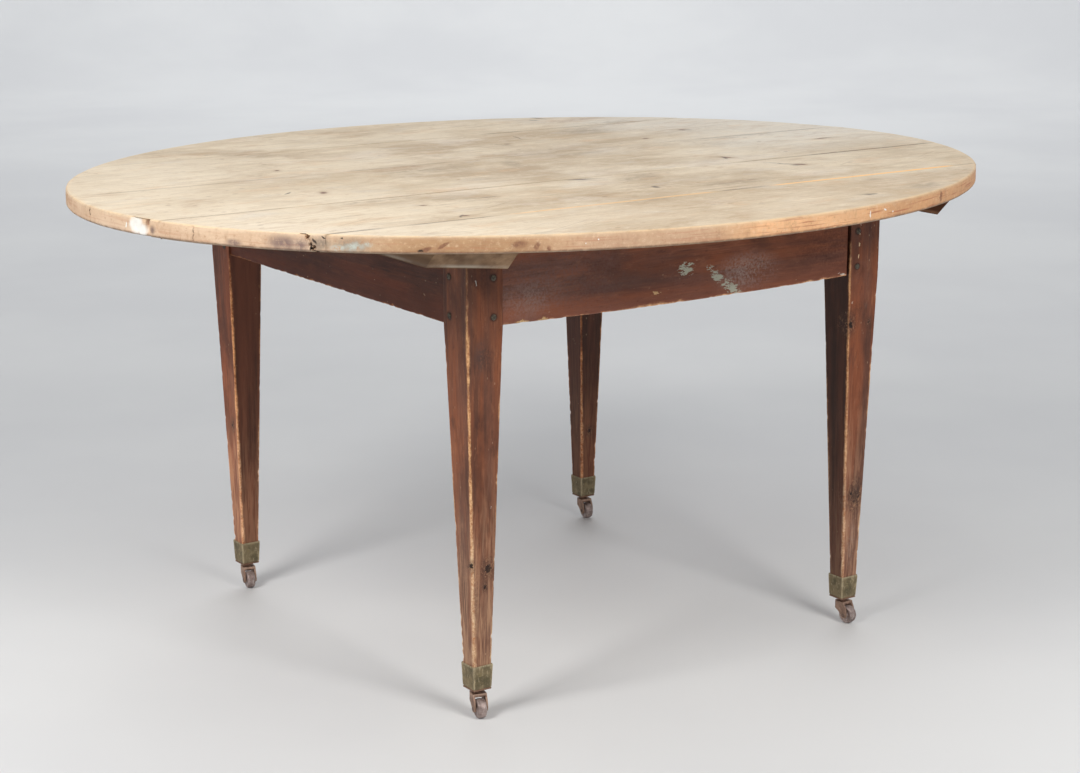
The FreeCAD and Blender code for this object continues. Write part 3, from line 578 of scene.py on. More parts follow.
# ------------------------------------------------------------------ stained pine of the frame
def frame_pine(name, seed, axis, knots=(), paint=(), chips=(), tone_and_light_gain=(1.0, 1.0, 1.0), shade=1.0, pegs=()):
    """Dark red-brown stained pine, grain along axis, worn pale where the mesh says so; with painted light and shade:
    per-piece colour gains, darker inner leg faces, a dark strip under the top and dark rings round the pegs.
    """
    n = Nodes(name)
    off = (1.3 * seed, 2.1 * seed, 0.7 * seed)
    n.ragged((3.0, 3.0, 3.0), (80.0, 80.0, 80.0), off)
    pick = {"x": lambda a, c: (a, c, c), "y": lambda a, c: (c, a, c), "z": lambda a, c: (c, c, a)}[axis]
    s1 = n.noise(n.at(pick(2.6, 38.0), off), 5.0, 0.56, dist=0.2)
    s2 = n.noise(n.at(pick(5.5, 125.0), (off[0] + 3.0, off[1], off[2] + 5.0)), 6.0, 0.62, dist=0.2)
    fibre = n.noise(n.at(pick(20.0, 430.0), off), 4.0, 0.65)
    cloud = n.noise(n.at(pick(6.0, 15.0), off), 7.0, 0.64, dist=0.4)
    wide = n.noise(n.at((5.0, 5.0, 5.0), off), 4.0, 0.6)
    grain = n.noise(n.at((260.0, 260.0, 260.0), off), 4.0, 0.7)
    dash = n.noise(n.at(pick(110.0, 330.0), off), 5.0, 0.66)

    # colours multiplied by the per-piece gain, which is partly the wood's tone and partly painted light and shade
    def lit(r, g, b):
        return tuple(c * k for c, k in zip(srgb(r, g, b), tone_and_light_gain))
    dark, red, mid = lit(62, 40, 33), lit(130, 76, 50), lit(102, 67, 54)
    col = n.mix(n.ramp(s1, 0.38, 0.62), mid, red)
    col = n.mix(n.ramp(s2, 0.52, 0.72, 0.0, 0.46), col, lit(152, 94, 60))
    col = n.mix(n.ramp(cloud, 0.46, 0.68, 0.0, 0.58), col, dark)
    col = n.mix(n.ramp(n.add(s2, n.mul(n.sub(s1, 0.5), 0.5)), 0.28, 0.46, 0.42, 0.0), col, lit(66, 42, 34))
    col = n.mix(n.ramp(n.add(fibre, n.mul(n.sub(cloud, 0.5), -0.6)), 0.54, 0.72, 0.0, 0.36), col, lit(160, 108, 78))
    col = n.mix(n.ramp(fibre, 0.28, 0.44, 0.46, 0.0), col, lit(50, 31, 26))
    col = n.mix(n.mul(n.ramp(wide, 0.48, 0.66, 0.0, 0.50), n.ramp(grain, 0.38, 0.64, 0.35, 1.0)), col, lit(110, 84, 77))
    scar = n.noise(n.at(pick(26.0, 84.0), (off[0] + 1.0, off[1] + 4.0, off[2])), 6.0, 0.72, dist=0.3)
    col = n.mix(n.ramp(scar, 0.54, 0.68, 0.0, 0.46), col, lit(62, 38, 32))
    col = n.mix(n.ramp(scar, 0.30, 0.44, 0.34, 0.0), col, lit(152, 104, 78))
    pit = n.mul(n.ramp(dash, 0.28, 0.36, 1.0, 0.0), n.ramp(wide, 0.42, 0.58))
    col = n.mix(n.mul(pit, 0.85), col, lit(30, 20, 17))
    wear = n.attr("wear")
    if axis == "z":
        low = n.mul(n.ramp(n.add(n.z, n.mul(n.sub(cloud, 0.5), 0.30)), 0.46, 0.12), 0.66)
        bare = n.ramp(n.add(s2, n.mul(n.sub(fibre, 0.5), 0.9)), 0.38, 0.64)
        col = n.mix(n.mul(low, 0.50), col, lit(142, 108, 90))
        col = n.mix(n.mul(low, bare), col, lit(180, 145, 118))
        # painted shade: faces turned towards the space under the table made darker, scaled per leg by shade
        inner_face_shade = n.mul(n.attr("inner"), n.ramp(n.add(n.z, n.mul(n.sub(cloud, 0.5), 0.2)), 0.10, 0.42, 0.60, 0.88))
        col = n.mix(inner_face_shade, col, n.mix(n.ramp(n.add(s1, n.mul(n.sub(s2, 0.5), 0.6)), 0.34, 0.68), tuple(c * shade for c in srgb(52, 30, 21)), tuple(c * shade for c in srgb(82, 47, 33))))
    else:
        # painted shade: a dark strip along the top of the rail, under the top's overhang, and warmer wood low down
        col = n.mix(n.ramp(n.add(n.z, n.mul(n.sub(cloud, 0.5), 0.04)), 0.690, 0.728, 0.0, 0.62), col, lit(50, 32, 26))
        col = n.mix(n.mul(n.ramp(n.add(n.z, n.mul(n.sub(cloud, 0.5), 0.05)), 0.650, 0.610), 0.40), col, lit(138, 80, 54))
    rub = n.noise(n.at(pick(34.0, 150.0), off), 6.0, 0.74)
    rubl = n.noise(n.at(pick(8.0, 26.0), (off[0], off[1] + 2.0, off[2])), 5.0, 0.66)
    pale = n.ramp(n.add(wear, n.add(n.mul(n.sub(rub, 0.5), 1.2), n.mul(n.sub(rubl, 0.5), 1.6))), 0.34, 1.0)
    col = n.mix(n.mul(pale, 0.86), col, n.mix(n.ramp(n.add(n.mul(grain, 0.5), n.add(n.mul(rub, 0.25), n.mul(rubl, 0.25))), 0.40, 0.60), lit(172, 114, 76), n.mix(n.ramp(n.z, 0.42, 0.20), lit(232, 188, 140), lit(228, 202, 170)) if axis == "z" else lit(232, 188, 140)))
    # small bright flecks of lost finish
    cell = n.voronoi(n.at(pick(70.0, 150.0), off))
    fleck = n.mul(n.ramp(cell["Distance"], 0.08, 0.17, 1.0, 0.0), n.ramp(n.noise(n.at((22.0, 22.0, 22.0), off), 4.0, 0.65), 0.52, 0.66))
    col = n.mix(n.mul(fleck, 0.55), col, srgb(190, 156, 126))
    holes = []
    for c, radii, hard in knots:
        core = n.torn(n.spot(c, radii, soft=0.9), grain, 0.7)
        halo = n.spot(c, tuple(r * 2.4 for r in radii), soft=0.9)
        col = n.mix(n.mul(halo, 0.55), col, srgb(70, 46, 38))
        swirl = n.noise(n.v("MULTIPLY", n.v("SUBTRACT", n.PW, tuple(v * MM for v in c)), tuple(1.5 / (r * MM) for r in radii)), 4.0, 0.60, dist=2.2)
        col = n.mix(n.mul(n.mul(halo, n.ramp(swirl, 0.52, 0.60)), 0.70), col, srgb(170, 128, 96))
        col = n.mix(n.mul(n.mul(halo, n.ramp(swirl, 0.36, 0.46, 1.0, 0.0)), 0.75), col, srgb(54, 40, 36))
        col = n.mix(n.mul(core, hard), col, srgb(28, 19, 16))
        holes.append(n.mul(core, hard))
    # painted shade: a dark ring round each peg for the shadow in the gap around it
    for c in pegs:
        col = n.mix(n.mul(n.spot(c, (8.5, 8.5, 8.5), soft=0.5), 0.72), col, srgb(40, 29, 25))
    for c, radii, rot, tone, k in paint:
        msk = n.spot(c, radii, rot, 0.95)
        msk = n.torn(msk, dash) if k > 0.7 else n.mul(msk, n.ramp(n.add(n.mul(grain, 0.5), n.mul(cloud, 0.5)), 0.36, 0.62))
        col = n.mix(n.mul(msk, k), col, tone)
    for c, radii in chips:
        msk = n.torn(n.spot(c, tuple(1.25 * r for r in radii), soft=0.95), dash)
        col = n.mix(n.mul(msk, 0.92), col, n.mix(n.ramp(grain, 0.40, 0.62), srgb(206, 164, 112), srgb(234, 202, 154)))
    rough = n.add(0.36, n.add(n.mul(cloud, 0.22), n.mul(pale, 0.18)))
    height = n.add(n.add(n.mul(fibre, 0.5), n.mul(s2, 0.9)), n.mul(pale, -0.25))
    for h in holes:
        height = n.sub(height, n.mul(h, 1.5))
    n.bump(height, 0.5, 0.0008)
    return n.finish(col, rough, 0.0, 0.24)


def raw_batten(name, seed, tone_and_light_gain=(1.0, 1.0, 1.0)):
    n = Nodes(name)
    off = (2.0 * seed, 1.1 * seed, 0.6 * seed)
    streak = n.noise(n.at((40.0, 2.2, 40.0), off), 6.0, 0.62)
    fibre = n.noise(n.at((420.0, 9.0, 420.0), off), 4.0, 0.6)
    blotch = n.noise(n.at((14.0, 9.0, 14.0), off), 5.0, 0.6)
    col = n.mix(n.ramp(streak, 0.33, 0.66), srgb(106, 78, 54), srgb(150, 120, 90))
    col = n.mix(n.ramp(blotch, 0.48, 0.68, 0.0, 0.6), col, srgb(116, 94, 74))
    col = n.mix(n.ramp(fibre, 0.60, 0.80, 0.0, 0.4), col, srgb(92, 68, 48))
    paint = n.ramp(n.noise(n.at((46.0, 46.0, 46.0), off), 5.0, 0.7), 0.66, 0.74)
    col = n.mix(n.mul(paint, 0.5), col, srgb(188, 186, 176))
    low = n.mul(n.ramp(n.z, 0.7165, 0.7105), n.ramp(n.add(n.mul(blotch, 0.6), n.mul(streak, 0.4)), 0.38, 0.56, 0.15, 1.0))
    low = n.mul(low, n.ramp(n.z, 0.7098, 0.7110))
    col = n.mix(n.mul(low, 0.5), col, srgb(208, 200, 184))
    # multiplied by the gain: partly tone, and for the right batten partly painted shade
    col = n.mix(1.0, col, tone_and_light_gain, "MULTIPLY")
    n.bump(n.add(n.mul(fibre, 0.5), streak), 0.5, 0.0008)
    return n.finish(col, n.add(0.55, n.mul(blotch, 0.2)), 0.0, 0.35)


def small_wood(name, a, b, seed):
    """End grain of pegs and dowels, dusty and dark."""
    n = Nodes(name)
    off = (seed, seed * 2.0, seed * 0.5)
    g = n.noise(n.at((260.0, 260.0, 260.0), off), 4.0, 0.65)
    d = n.noise(n.at((70.0, 70.0, 70.0), off), 3.0, 0.6)
    col = n.mix(n.ramp(g, 0.35, 0.65), a, b)
    col = n.mix(n.ramp(d, 0.50, 0.66, 0.0, 0.7), col, srgb(120, 116, 100))
    n.bump(g, 0.5, 0.0006)
    return n.finish(col, n.add(0.5, n.mul(d, 0.25)), 0.0, 0.4)


def old_metal(name, dark, mid, light, seed, metallic=0.8, rough0=0.36, rust=0.0, lip=None):
    n = Nodes(name)
    off = (seed, seed * 1.7, seed * 0.6)
    patch = n.noise(n.at((75.0, 75.0, 75.0), off), 5.0, 0.62)
    fine = n.noise(n.at((520.0, 520.0, 520.0), off), 4.0, 0.65)
    drag = n.noise(n.at((260.0, 260.0, 90.0), off), 4.0, 0.66)
    col = n.mix(n.ramp(patch, 0.34, 0.62), dark, mid)
    col = n.mix(n.ramp(n.add(drag, n.mul(n.sub(fine, 0.5), 0.4)), 0.52, 0.74, 0.0, 0.7), col, light)
    geo = n.t.nodes.new("ShaderNodeNewGeometry")
    edge = n.ramp(geo.outputs["Pointiness"], 0.505, 0.56)
    col = n.mix(n.mul(edge, 0.55), col, light)
    col = n.mix(n.mul(n.attr("wear"), n.ramp(drag, 0.36, 0.58, 0.15, 0.8)), col, light)
    if lip:
        col = n.mix(n.ramp(n.z, 0.0515, 0.0495, 0.0, 0.8), col, lip)
    if rust:
        r = n.noise(n.at((160.0, 160.0, 160.0), off), 5.0, 0.7)
        col = n.mix(n.ramp(r, 0.50, 0.64, 0.0, rust), col, srgb(92, 56, 38))
    n.bump(n.add(n.mul(fine, 0.6), patch), 0.35, 0.0005)
    return n.finish(col, n.add(rough0, n.mul(patch, 0.32)), metallic, 0.5)


# ------------------------------------------------------------------ the five boards of the top
def rim_profile():
    out = []
    # the fourth value weights the painted highlight along the rim's upper rounding
    for k in range(7):
        a = math.radians(15.0 * k)
        out.append((R_UP * (1 - math.sin(a)), Z_TOP - R_UP * (1 - math.cos(a)), k / 6.0 * 0.8, 1.0 - abs(k - 2.5) / 4.5))
    for k in range(1, 6):
        z = Z_TOP - R_UP - (Z_TOP - R_UP - Z_UNDER - R_LOW) * k / 6.0
        out.append((0.0, z, 1.0, 0.12 * (1 - k / 5.0)))
    for k in range(7):
        b = math.radians(15.0 * k)
        out.append((R_LOW * (1 - math.cos(b)), Z_UNDER + R_LOW - R_LOW * math.sin(b), 1.0 - 0.5 * k / 6.0, 0.0))
    return np.array(out)


PROFILE = rim_profile()
BOARD_DROP = {1: 0.15, 2: 0.35, 3: 0.15, 4: 0.40, 5: 0.25}
DENTS = [(rng.uniform(-700, 700), rng.uniform(-580, 580), rng.uniform(3, 9), rng.uniform(0.25, 0.8)) for _ in range(90)]


def top_drop(x, y, board):
    """How far the worn surface lies below the nominal top."""
    p = np.stack([x / 210.0, y / 70.0, np.full_like(x, board * 3.1)], 1)
    h = BOARD_DROP[board] + 0.75 * fbm(p, 3, 4)
    h = h + 0.22 * fbm(np.stack([x / 60.0, y / 6.0, np.full_like(x, board * 1.7)], 1), 9, 3)
    for dx, dy, r, d in DENTS:
        q = ((x - dx) / (r * 1.6)) ** 2 + ((y - dy) / r) ** 2
        h = h + d * np.exp(-q * 1.5)
    return h


def rim_inset(x, y, z):
    """Wear, knocks, splits and lost wood along the rim, as a depth into the wood."""
    th = np.degrees(np.arctan2(y / B, x / A)) % 360.0
    arc = th * 12.4
    w = 0.7 * fbm(np.stack([arc / 90.0, z / 30.0, np.zeros_like(z)], 1), 21, 4)
    w = w + 0.5 * fbm(np.stack([arc / 9.0, z / 9.0, np.ones_like(z)], 1), 23, 3)
    up = sstep(750.0, 758.0, z)
    w = w + 1.0 * up * fbm(np.stack([arc / 40.0, z / 40.0, np.full_like(z, 5.0)], 1), 29, 3)
    # lost corner with a filled bottom
    hole = sstep(188.9, 189.5, th) * (1 - sstep(192.2, 192.7, th))
    deep = 3.2 + 3.5 * sstep(191.4, 191.7, th) + 2.2 * fbm(np.stack([arc / 5.0, z / 5.0, np.full_like(z, 8.0)], 1), 31, 3)
    w = w + hole * deep * (0.35 + 0.65 * sstep(735.0, 746.0, z))
    # open split beside the first seam
    c = 215.75 - (z - 746.0) * 0.045 + 0.25 * np.sin(z * 0.9)
    w = w + 11.0 * (1 - sstep(0.07, 0.22, np.abs(th - c))) * (0.25 + 0.75 * sstep(746.0, 742.0, z) + 0.75 * sstep(751.0, 754.0, z))
    for c0, depth in ((200.0, 2.2), (178.0, 3.0), (165.0, 3.0), (297.4, 1.5)):
        cc = c0 + 0.12 * np.sin(z * 0.7)
        w = w + depth * (1 - sstep(0.04, 0.14, np.abs(th - cc)))
    for c0, half, depth, zc in ((228.0, 0.5, 2.0, 737.5), (183.4, 0.5, 1.6, 739.0), (246.0, 0.35, 1.2, 757.0),
                                (270.5, 0.3, 1.2, 735.0), (310.0, 0.5, 1.6, 756.0), (24.0, 0.5, 2.0, 756.0),
                                (75.0, 0.4, 1.6, 757.0), (121.0, 0.5, 1.8, 756.0), (98.0, 0.3, 1.5, 736.0)):
        w = w + depth * np.exp(-((th - c0) / half) ** 2 - ((z - zc) / 6.0) ** 2)
    return w


def shape_rim(v, rim_flag):
    """Moves rim points inwards by the wear at their place."""
    x, y, z = v[:, 0], v[:, 1], v[:, 2]
    w = rim_inset(x, y, z) * rim_flag
    g = np.stack([x / A ** 2, y / B ** 2], 1)
    g = g / np.maximum(np.linalg.norm(g, axis=1, keepdims=True), 1e-9)
    v[:, :2] -= g * w[:, None]
    return v


def ell_x(y, d):
    return (A - d) * np.sqrt(np.maximum(1 - (y / (B - d)) ** 2, 0.0))


def gap_half(x, joint):
    """Half width of the open seam."""
    g = 0.06 + 0.12 * fbm(np.stack([x / 120.0, np.full_like(x, joint), np.zeros_like(x)], 1), 41, 3)
    for a, b, e in SEAMS[joint]:
        g = g + 0.75 * max(0.0, e - 0.6) * sstep(a - 40, a + 20, x) * (1 - sstep(b - 20, b + 40, x))
    return g


def ease(dist, r):
    t = np.clip(dist, 0.0, r)
    return r - np.sqrt(np.maximum(r * r - (r - t) ** 2, 0.0))


def middle_board(name, k, y0, y1):
    rows = set(np.round(np.linspace(y0, y1, int((y1 - y0) / 7.0)), 3))
    for e in (0.0, 0.25, 0.6, 1.1, 1.8, 3.0, 5.0):
        rows.update((round(y0 + e, 3), round(y1 - e, 3)))
    for a, b, s in ((-392.0, -366.0, 0.9), (-146.0, -98.0, 1.6), (-224.5, -219.5, 0.5), (18.0, 27.0, 0.6), (164.0, 172.5, 0.6)):
        for y in np.arange(a, b, s):
            if y0 + 1.9 < y < y1 - 1.9:
                rows.add(round(float(y), 3))
    rows = np.array(sorted(rows))
    s_top = np.linspace(-1, 1, 191)
    s_bot = np.linspace(1, -1, 61)[1:-1]
    nk = len(PROFILE)
    verts, rimf, topf, attrs = [], [], [], {"rim": [], "arris_highlight": [], "under": []}
    for y in rows:
        x0 = ell_x(y, PROFILE[0, 0])
        xs = np.array([ell_x(y, d) for d in PROFILE[:, 0]])
        px = np.concatenate([s_top * x0, xs[1:], s_bot * xs[-1], -xs[::-1][:-1]])
        pz = np.concatenate([np.full(len(s_top), Z_TOP), PROFILE[1:, 1], np.full(len(s_bot), Z_UNDER), PROFILE[::-1, 1][:-1]])
        verts.append(np.stack([px, np.full_like(px, y), pz], 1))
        rimf.append(np.concatenate([np.zeros(len(s_top)), PROFILE[1:, 2], np.zeros(len(s_bot)), PROFILE[::-1, 2][:-1]]))
        d_edge = (1 - np.abs(s_top)) * x0
        # weight of the painted edge highlight on the top near its outer edge
        top_edge_highlight = np.exp(-d_edge / 2.2) * 0.6
        attrs["rim"].append(rimf[-1])
        attrs["arris_highlight"].append(np.concatenate([top_edge_highlight, PROFILE[1:, 3], np.zeros(len(s_bot)), PROFILE[::-1, 3][:-1]]))
        attrs["under"].append(np.concatenate([np.zeros(len(s_top) + nk - 2), [1.0], np.ones(len(s_bot)), [1.0], np.zeros(nk - 2)]))
        topf.append(np.concatenate([np.ones(len(s_top)), 1 - sstep(752, 760, Z_TOP - (Z_TOP - PROFILE[1:, 1]) * 1.0) * 0 - (PROFILE[1:, 2] > 0.5),
                                    np.zeros(len(s_bot)), (1 - (PROFILE[:, 2] > 0.5))[::-1][:-1]]))
    n = len(verts[0])
    v = np.concatenate(verts)
    topf = np.clip(np.concatenate(topf), 0, 1)
    attrs = {a: np.concatenate(b) for a, b in attrs.items()}
    v = shape_rim(v, sstep(0.0, 0.35, np.concatenate(rimf)))
    yy = v[:, 1].copy()
    h = top_drop(v[:, 0], yy, k)
    d0, d1 = yy - y0, y1 - yy
    worn = 0.4 + 0.9 * fbm(np.stack([v[:, 0] / 70.0, yy / 400.0, np.full_like(yy, k)], 1), 51, 3)
    h = h + ease(d0, worn) + ease(d1, worn)
    v[:, 2] -= h * topf
    v[:, 1] += gap_half(v[:, 0], y0_joint(y0)) * np.clip(1 - d0 / 6.0, 0, 1) - gap_half(v[:, 0], y0_joint(y1)) * np.clip(1 - d1 / 6.0, 0, 1)
    faces = loop_faces(len(rows), n)
    faces.append(tuple(range(n))[::-1])
    faces.append(tuple(range((len(rows) - 1) * n, len(rows) * n)))
    return build(name, v, faces, attrs)


def y0_joint(y):
    return min(JOINTS, key=lambda j: abs(j - y))


def lens_board(name, k, yj, sign):
    """Front (sign -1) or back (sign 1) board between a seam and the oval's edge."""
    yc = abs(yj)
    u = set(np.round(np.linspace(0, 1, 241), 5))
    u.update(np.round(np.linspace(0, 0.006, 7), 5))
    u.update(np.round(1 - np.linspace(0, 0.006, 7), 5))
    u = np.array(sorted(u))
    ts = np.unique(np.concatenate([[0, 0.001, 0.0025, 0.0045, 0.007, 0.012, 0.02], np.linspace(0.03, 1.0, 34)]))
    tb = np.linspace(1.0, 0.0, 12)[1:]
    nk = len(PROFILE)
    phi0 = np.arcsin(yc / (B - PROFILE[:, 0]))
    verts, rimf, topf = [], [], []
    attrs = {"rim": [], "arris_highlight": [], "under": []}
    for uj in u:
        ph = phi0 + (math.pi - 2 * phi0) * uj
        ax, ay = (A - PROFILE[:, 0]) * np.cos(ph), (B - PROFILE[:, 0]) * np.sin(ph)
        ay = np.maximum(ay, yc)
        top = np.stack([np.full(len(ts), ax[0]), yc + ts * (ay[0] - yc), np.full(len(ts), Z_TOP)], 1)
        side = np.stack([ax[1:], ay[1:], PROFILE[1:, 1]], 1)
        bot = np.stack([np.full(len(tb), ax[-1]), yc + tb * (ay[-1] - yc), np.full(len(tb), Z_UNDER)], 1)
        verts.append(np.concatenate([top, side, bot]))
        rimf.append(np.concatenate([np.zeros(len(ts)), PROFILE[1:, 2], np.zeros(len(tb))]))
        d_edge = (1 - ts) * (ay[0] - yc)
        attrs["rim"].append(rimf[-1])
        attrs["arris_highlight"].append(np.concatenate([np.exp(-d_edge / 2.2) * 0.6, PROFILE[1:, 3], np.zeros(len(tb))]))
        attrs["under"].append(np.concatenate([np.zeros(len(ts) + nk - 2), [1.0], np.ones(len(tb))]))
        topf.append(np.concatenate([np.ones(len(ts)), (PROFILE[1:, 2] <= 0.5).astype(float), np.zeros(len(tb))]))
    n = len(verts[0])
    v = np.concatenate(verts)
    v[:, 1] *= sign
    topf = np.concatenate(topf)
    attrs = {a: np.concatenate(b) for a, b in attrs.items()}
    v = shape_rim(v, sstep(0.0, 0.35, np.concatenate(rimf)))
    # the seam face stays flat
    v[:, 1] = np.where(sign * v[:, 1] < yc, sign * yc, v[:, 1])
    d = sign * v[:, 1] - yc
    worn = 0.4 + 0.9 * fbm(np.stack([v[:, 0] / 70.0, v[:, 1] / 400.0, np.full(len(v), float(k))], 1), 51, 3)
    v[:, 2] -= (top_drop(v[:, 0], v[:, 1].copy(), k) + ease(d, worn)) * topf
    v[:, 1] += sign * gap_half(v[:, 0], yj) * np.clip(1 - d / 6.0, 0, 1)
    faces = loop_faces(len(u), n)
    last = (len(u) - 1) * n
    ends = [0] + list(range(len(ts), len(ts) + nk - 1)) + [n - 1]
    faces.append(tuple(i for i in ends)[::-1])
    faces.append(tuple(last + i for i in ends))
    return build(name, v, faces, attrs, merge=2e-5)


GAP = 0.0
BOARDS = [("board_1_front", 1, None, -390.0), ("board_2", 2, -390.0, -158.0), ("board_3_middle", 3, -158.0, 117.0),
          ("board_4", 4, 117.0, 395.0), ("board_5_back", 5, 395.0, None)]
PITH = {1: (-505.0, 640.0, 0.020), 2: (-285.0, 668.0, -0.026), 3: (10.0, 610.0, 0.030), 4: (245.0, 655.0, -0.018), 5: (505.0, 630.0, 0.024)}
for node, k, ya, yb in BOARDS:
    if ya is None:
        ob = lens_board(node + "_worn", k, yb, -1)
    elif yb is None:
        ob = lens_board(node + "_worn", k, ya, 1)
    else:
        ob = middle_board(node + "_worn", k, ya, yb)
    py, pz, tilt = PITH[k]
    mat = top_pine("scrubbed_pine_%d" % k, k, py, pz, tilt, -640.0 if ya is None else ya, 640.0 if yb is None else yb)
    settle(ob, node, "table", mat)


# ------------------------------------------------------------------ legs
def square_ring(cx, cy, half, radii, per_side=9, per_arc=5):
    """Rounded square, counter-clockwise from the +X side; returns points, outward normals, corner index and weight."""
    pts, nor, cor, wgt = [], [], [], []
    corners = [(1, 1, 0), (-1, 1, 90), (-1, -1, 180), (1, -1, 270)]
    arcs = []
    for c, (sx, sy, a0) in enumerate(corners):
        r = radii[c]
        arc = []
        for i in range(per_arc):
            a = math.radians(a0 + 90.0 * i / (per_arc - 1))
            arc.append((cx + sx * (half - r) + r * math.cos(a), cy + sy * (half - r) + r * math.sin(a), math.cos(a), math.sin(a),
                        c, 1.0))
        arcs.append(arc)
    for c in range(4):
        for p in arcs[c]:
            pts.append(p[:2])
            nor.append(p[2:4])
            cor.append(c)
            wgt.append(0.0)
        a, b = arcs[c][-1], arcs[(c + 1) % 4][0]
        # side points crowd towards the corners, where the wear is
        for i in range(1, per_side + 1):
            t = i / (per_side + 1.0)
            t = 0.5 - 0.5 * math.cos(math.pi * t)
            pts.append((a[0] + (b[0] - a[0]) * t, a[1] + (b[1] - a[1]) * t))
            nor.append((a[2], a[3]))
            d0 = math.hypot(pts[-1][0] - a[0], pts[-1][1] - a[1])
            d1 = math.hypot(pts[-1][0] - b[0], pts[-1][1] - b[1])
            cor.append(c if d0 < d1 else (c + 1) % 4)
            wgt.append(min(d0, d1))
    return np.array(pts), np.array(nor), np.array(cor), np.array(wgt)


def leg_section(leg, z):
    (sx, sy), (fx, fy) = LEGS[leg], FOOT[leg]
    tx, ty = sx * LEG_CX, sy * LEG_CY
    if z >= Z_TAPER:
        return tx, ty, LEG_TOP
    if z <= Z_CUP_TOP:
        k = (z - Z_FOOT) / (Z_CUP_TOP - Z_FOOT)
        return fx, fy, LEG_IN_CUP + (LEG_FOOT - LEG_IN_CUP) * k
    k = (z - Z_CUP_TOP) / (Z_TAPER - Z_CUP_TOP)
    return fx + (tx - fx) * k, fy + (ty - fy) * k, LEG_FOOT + (LEG_TOP - LEG_FOOT) * k


def leg_mesh(leg, seed):
    g = np.random.default_rng(100 + seed)
    zs = np.unique(np.concatenate([[Z_FOOT, 60, 70, 80, 86], np.arange(88.0, 600.0, 2.5), [600.0], np.arange(604.0, 733.0, 4.0), [734.4, Z_UNDER]]))
    nicks = []
    for c in range(4):
        outer = LEGS[leg][0] * (1, -1, -1, 1)[c] > 0 or LEGS[leg][1] * (1, 1, -1, -1)[c] > 0
        for _ in range(16 if outer else 8):
            z0 = 90 + (500 * g.random() ** 1.35)
            nicks.append((c, z0, g.uniform(1.8, 5.0), g.uniform(0.15, 0.9) * (1.2 if z0 < 300 else 0.7)))
        for _ in range(4):
            nicks.append((c, g.uniform(600, 725), g.uniform(1.8, 4.0), g.uniform(0.15, 0.5)))
    base = 0.9 + 0.7 * (1 - sstep(560, 612, zs)) + 0.3 * (1 - sstep(150, 320, zs))
    corner = np.stack([np.maximum(0.7, base * (0.7 + 0.6 * fbm(np.stack([zs / 70.0, np.full_like(zs, c * 7.3), np.full_like(zs, seed * 3.1)], 1), 61, 3)))
                       for c in range(4)], 1)
    sx, sy = LEGS[leg]
    near_corner = [(1, 1), (-1, 1), (-1, -1), (1, -1)].index((-1, -1))
    verts, wear, inner, n = [], [], [], None
    for row, z in enumerate(zs):
        cx, cy, s = leg_section(leg, z)
        radii = corner[row]
        p, nn, cor, w = square_ring(cx, cy, s / 2.0, radii)
        n = len(p)
        q = np.stack([p[:, 0] / 26.0, p[:, 1] / 26.0, np.full(n, z / 150.0)], 1)
        inset = 0.30 * fbm(q, 71 + seed, 4)
        inset = inset + 0.14 * fbm(np.stack([p[:, 0] / 4.0, p[:, 1] / 4.0, np.full(n, z / 60.0)], 1), 81 + seed, 3)
        near = np.exp(-(w / 2.6) ** 2)
        wr = np.where(cor == near_corner, 0.84 * np.exp(-(w / (2.5 + 1.5 * (1.0 - float(sstep(120, 300, z))))) ** 2), 0.62 * np.exp(-(w / 2.2) ** 2)) * (1.0 - 0.5 * float(sstep(560, 640, z)))
        for c, z0, l, d in nicks:
            if abs(z - z0) < 2.6 * l:
                b = math.exp(-((z - z0) / l) ** 2)
                m = (cor == c) * near
                inset = inset + d * b * m
                wr = wr + 0.40 * b * (d / 0.9) * (cor == c) * np.exp(-(w / 2.5) ** 2)
        if z < Z_CUP_TOP:
            inset = inset * 0.25
        p = p - nn * inset[:, None]
        verts.append(np.concatenate([p, np.full((n, 1), z)], 1))
        wear.append(wr)
        # how far each face turns towards the table's middle, used for painted shade
        inner.append(np.clip(np.maximum(-sx * nn[:, 0], -sy * nn[:, 1]), 0.0, 1.0) ** 2)
    v, wear, inner = np.concatenate(verts), np.concatenate(wear), np.concatenate(inner)
    faces = loop_faces(len(zs), n)
    faces.append(tuple(range(n))[::-1])
    faces.append(tuple(range((len(zs) - 1) * n, len(zs) * n)))
    return build("leg_%s_worn" % leg, v, faces, {"wear": wear, "inner": inner}, sharp_deg=50.0)


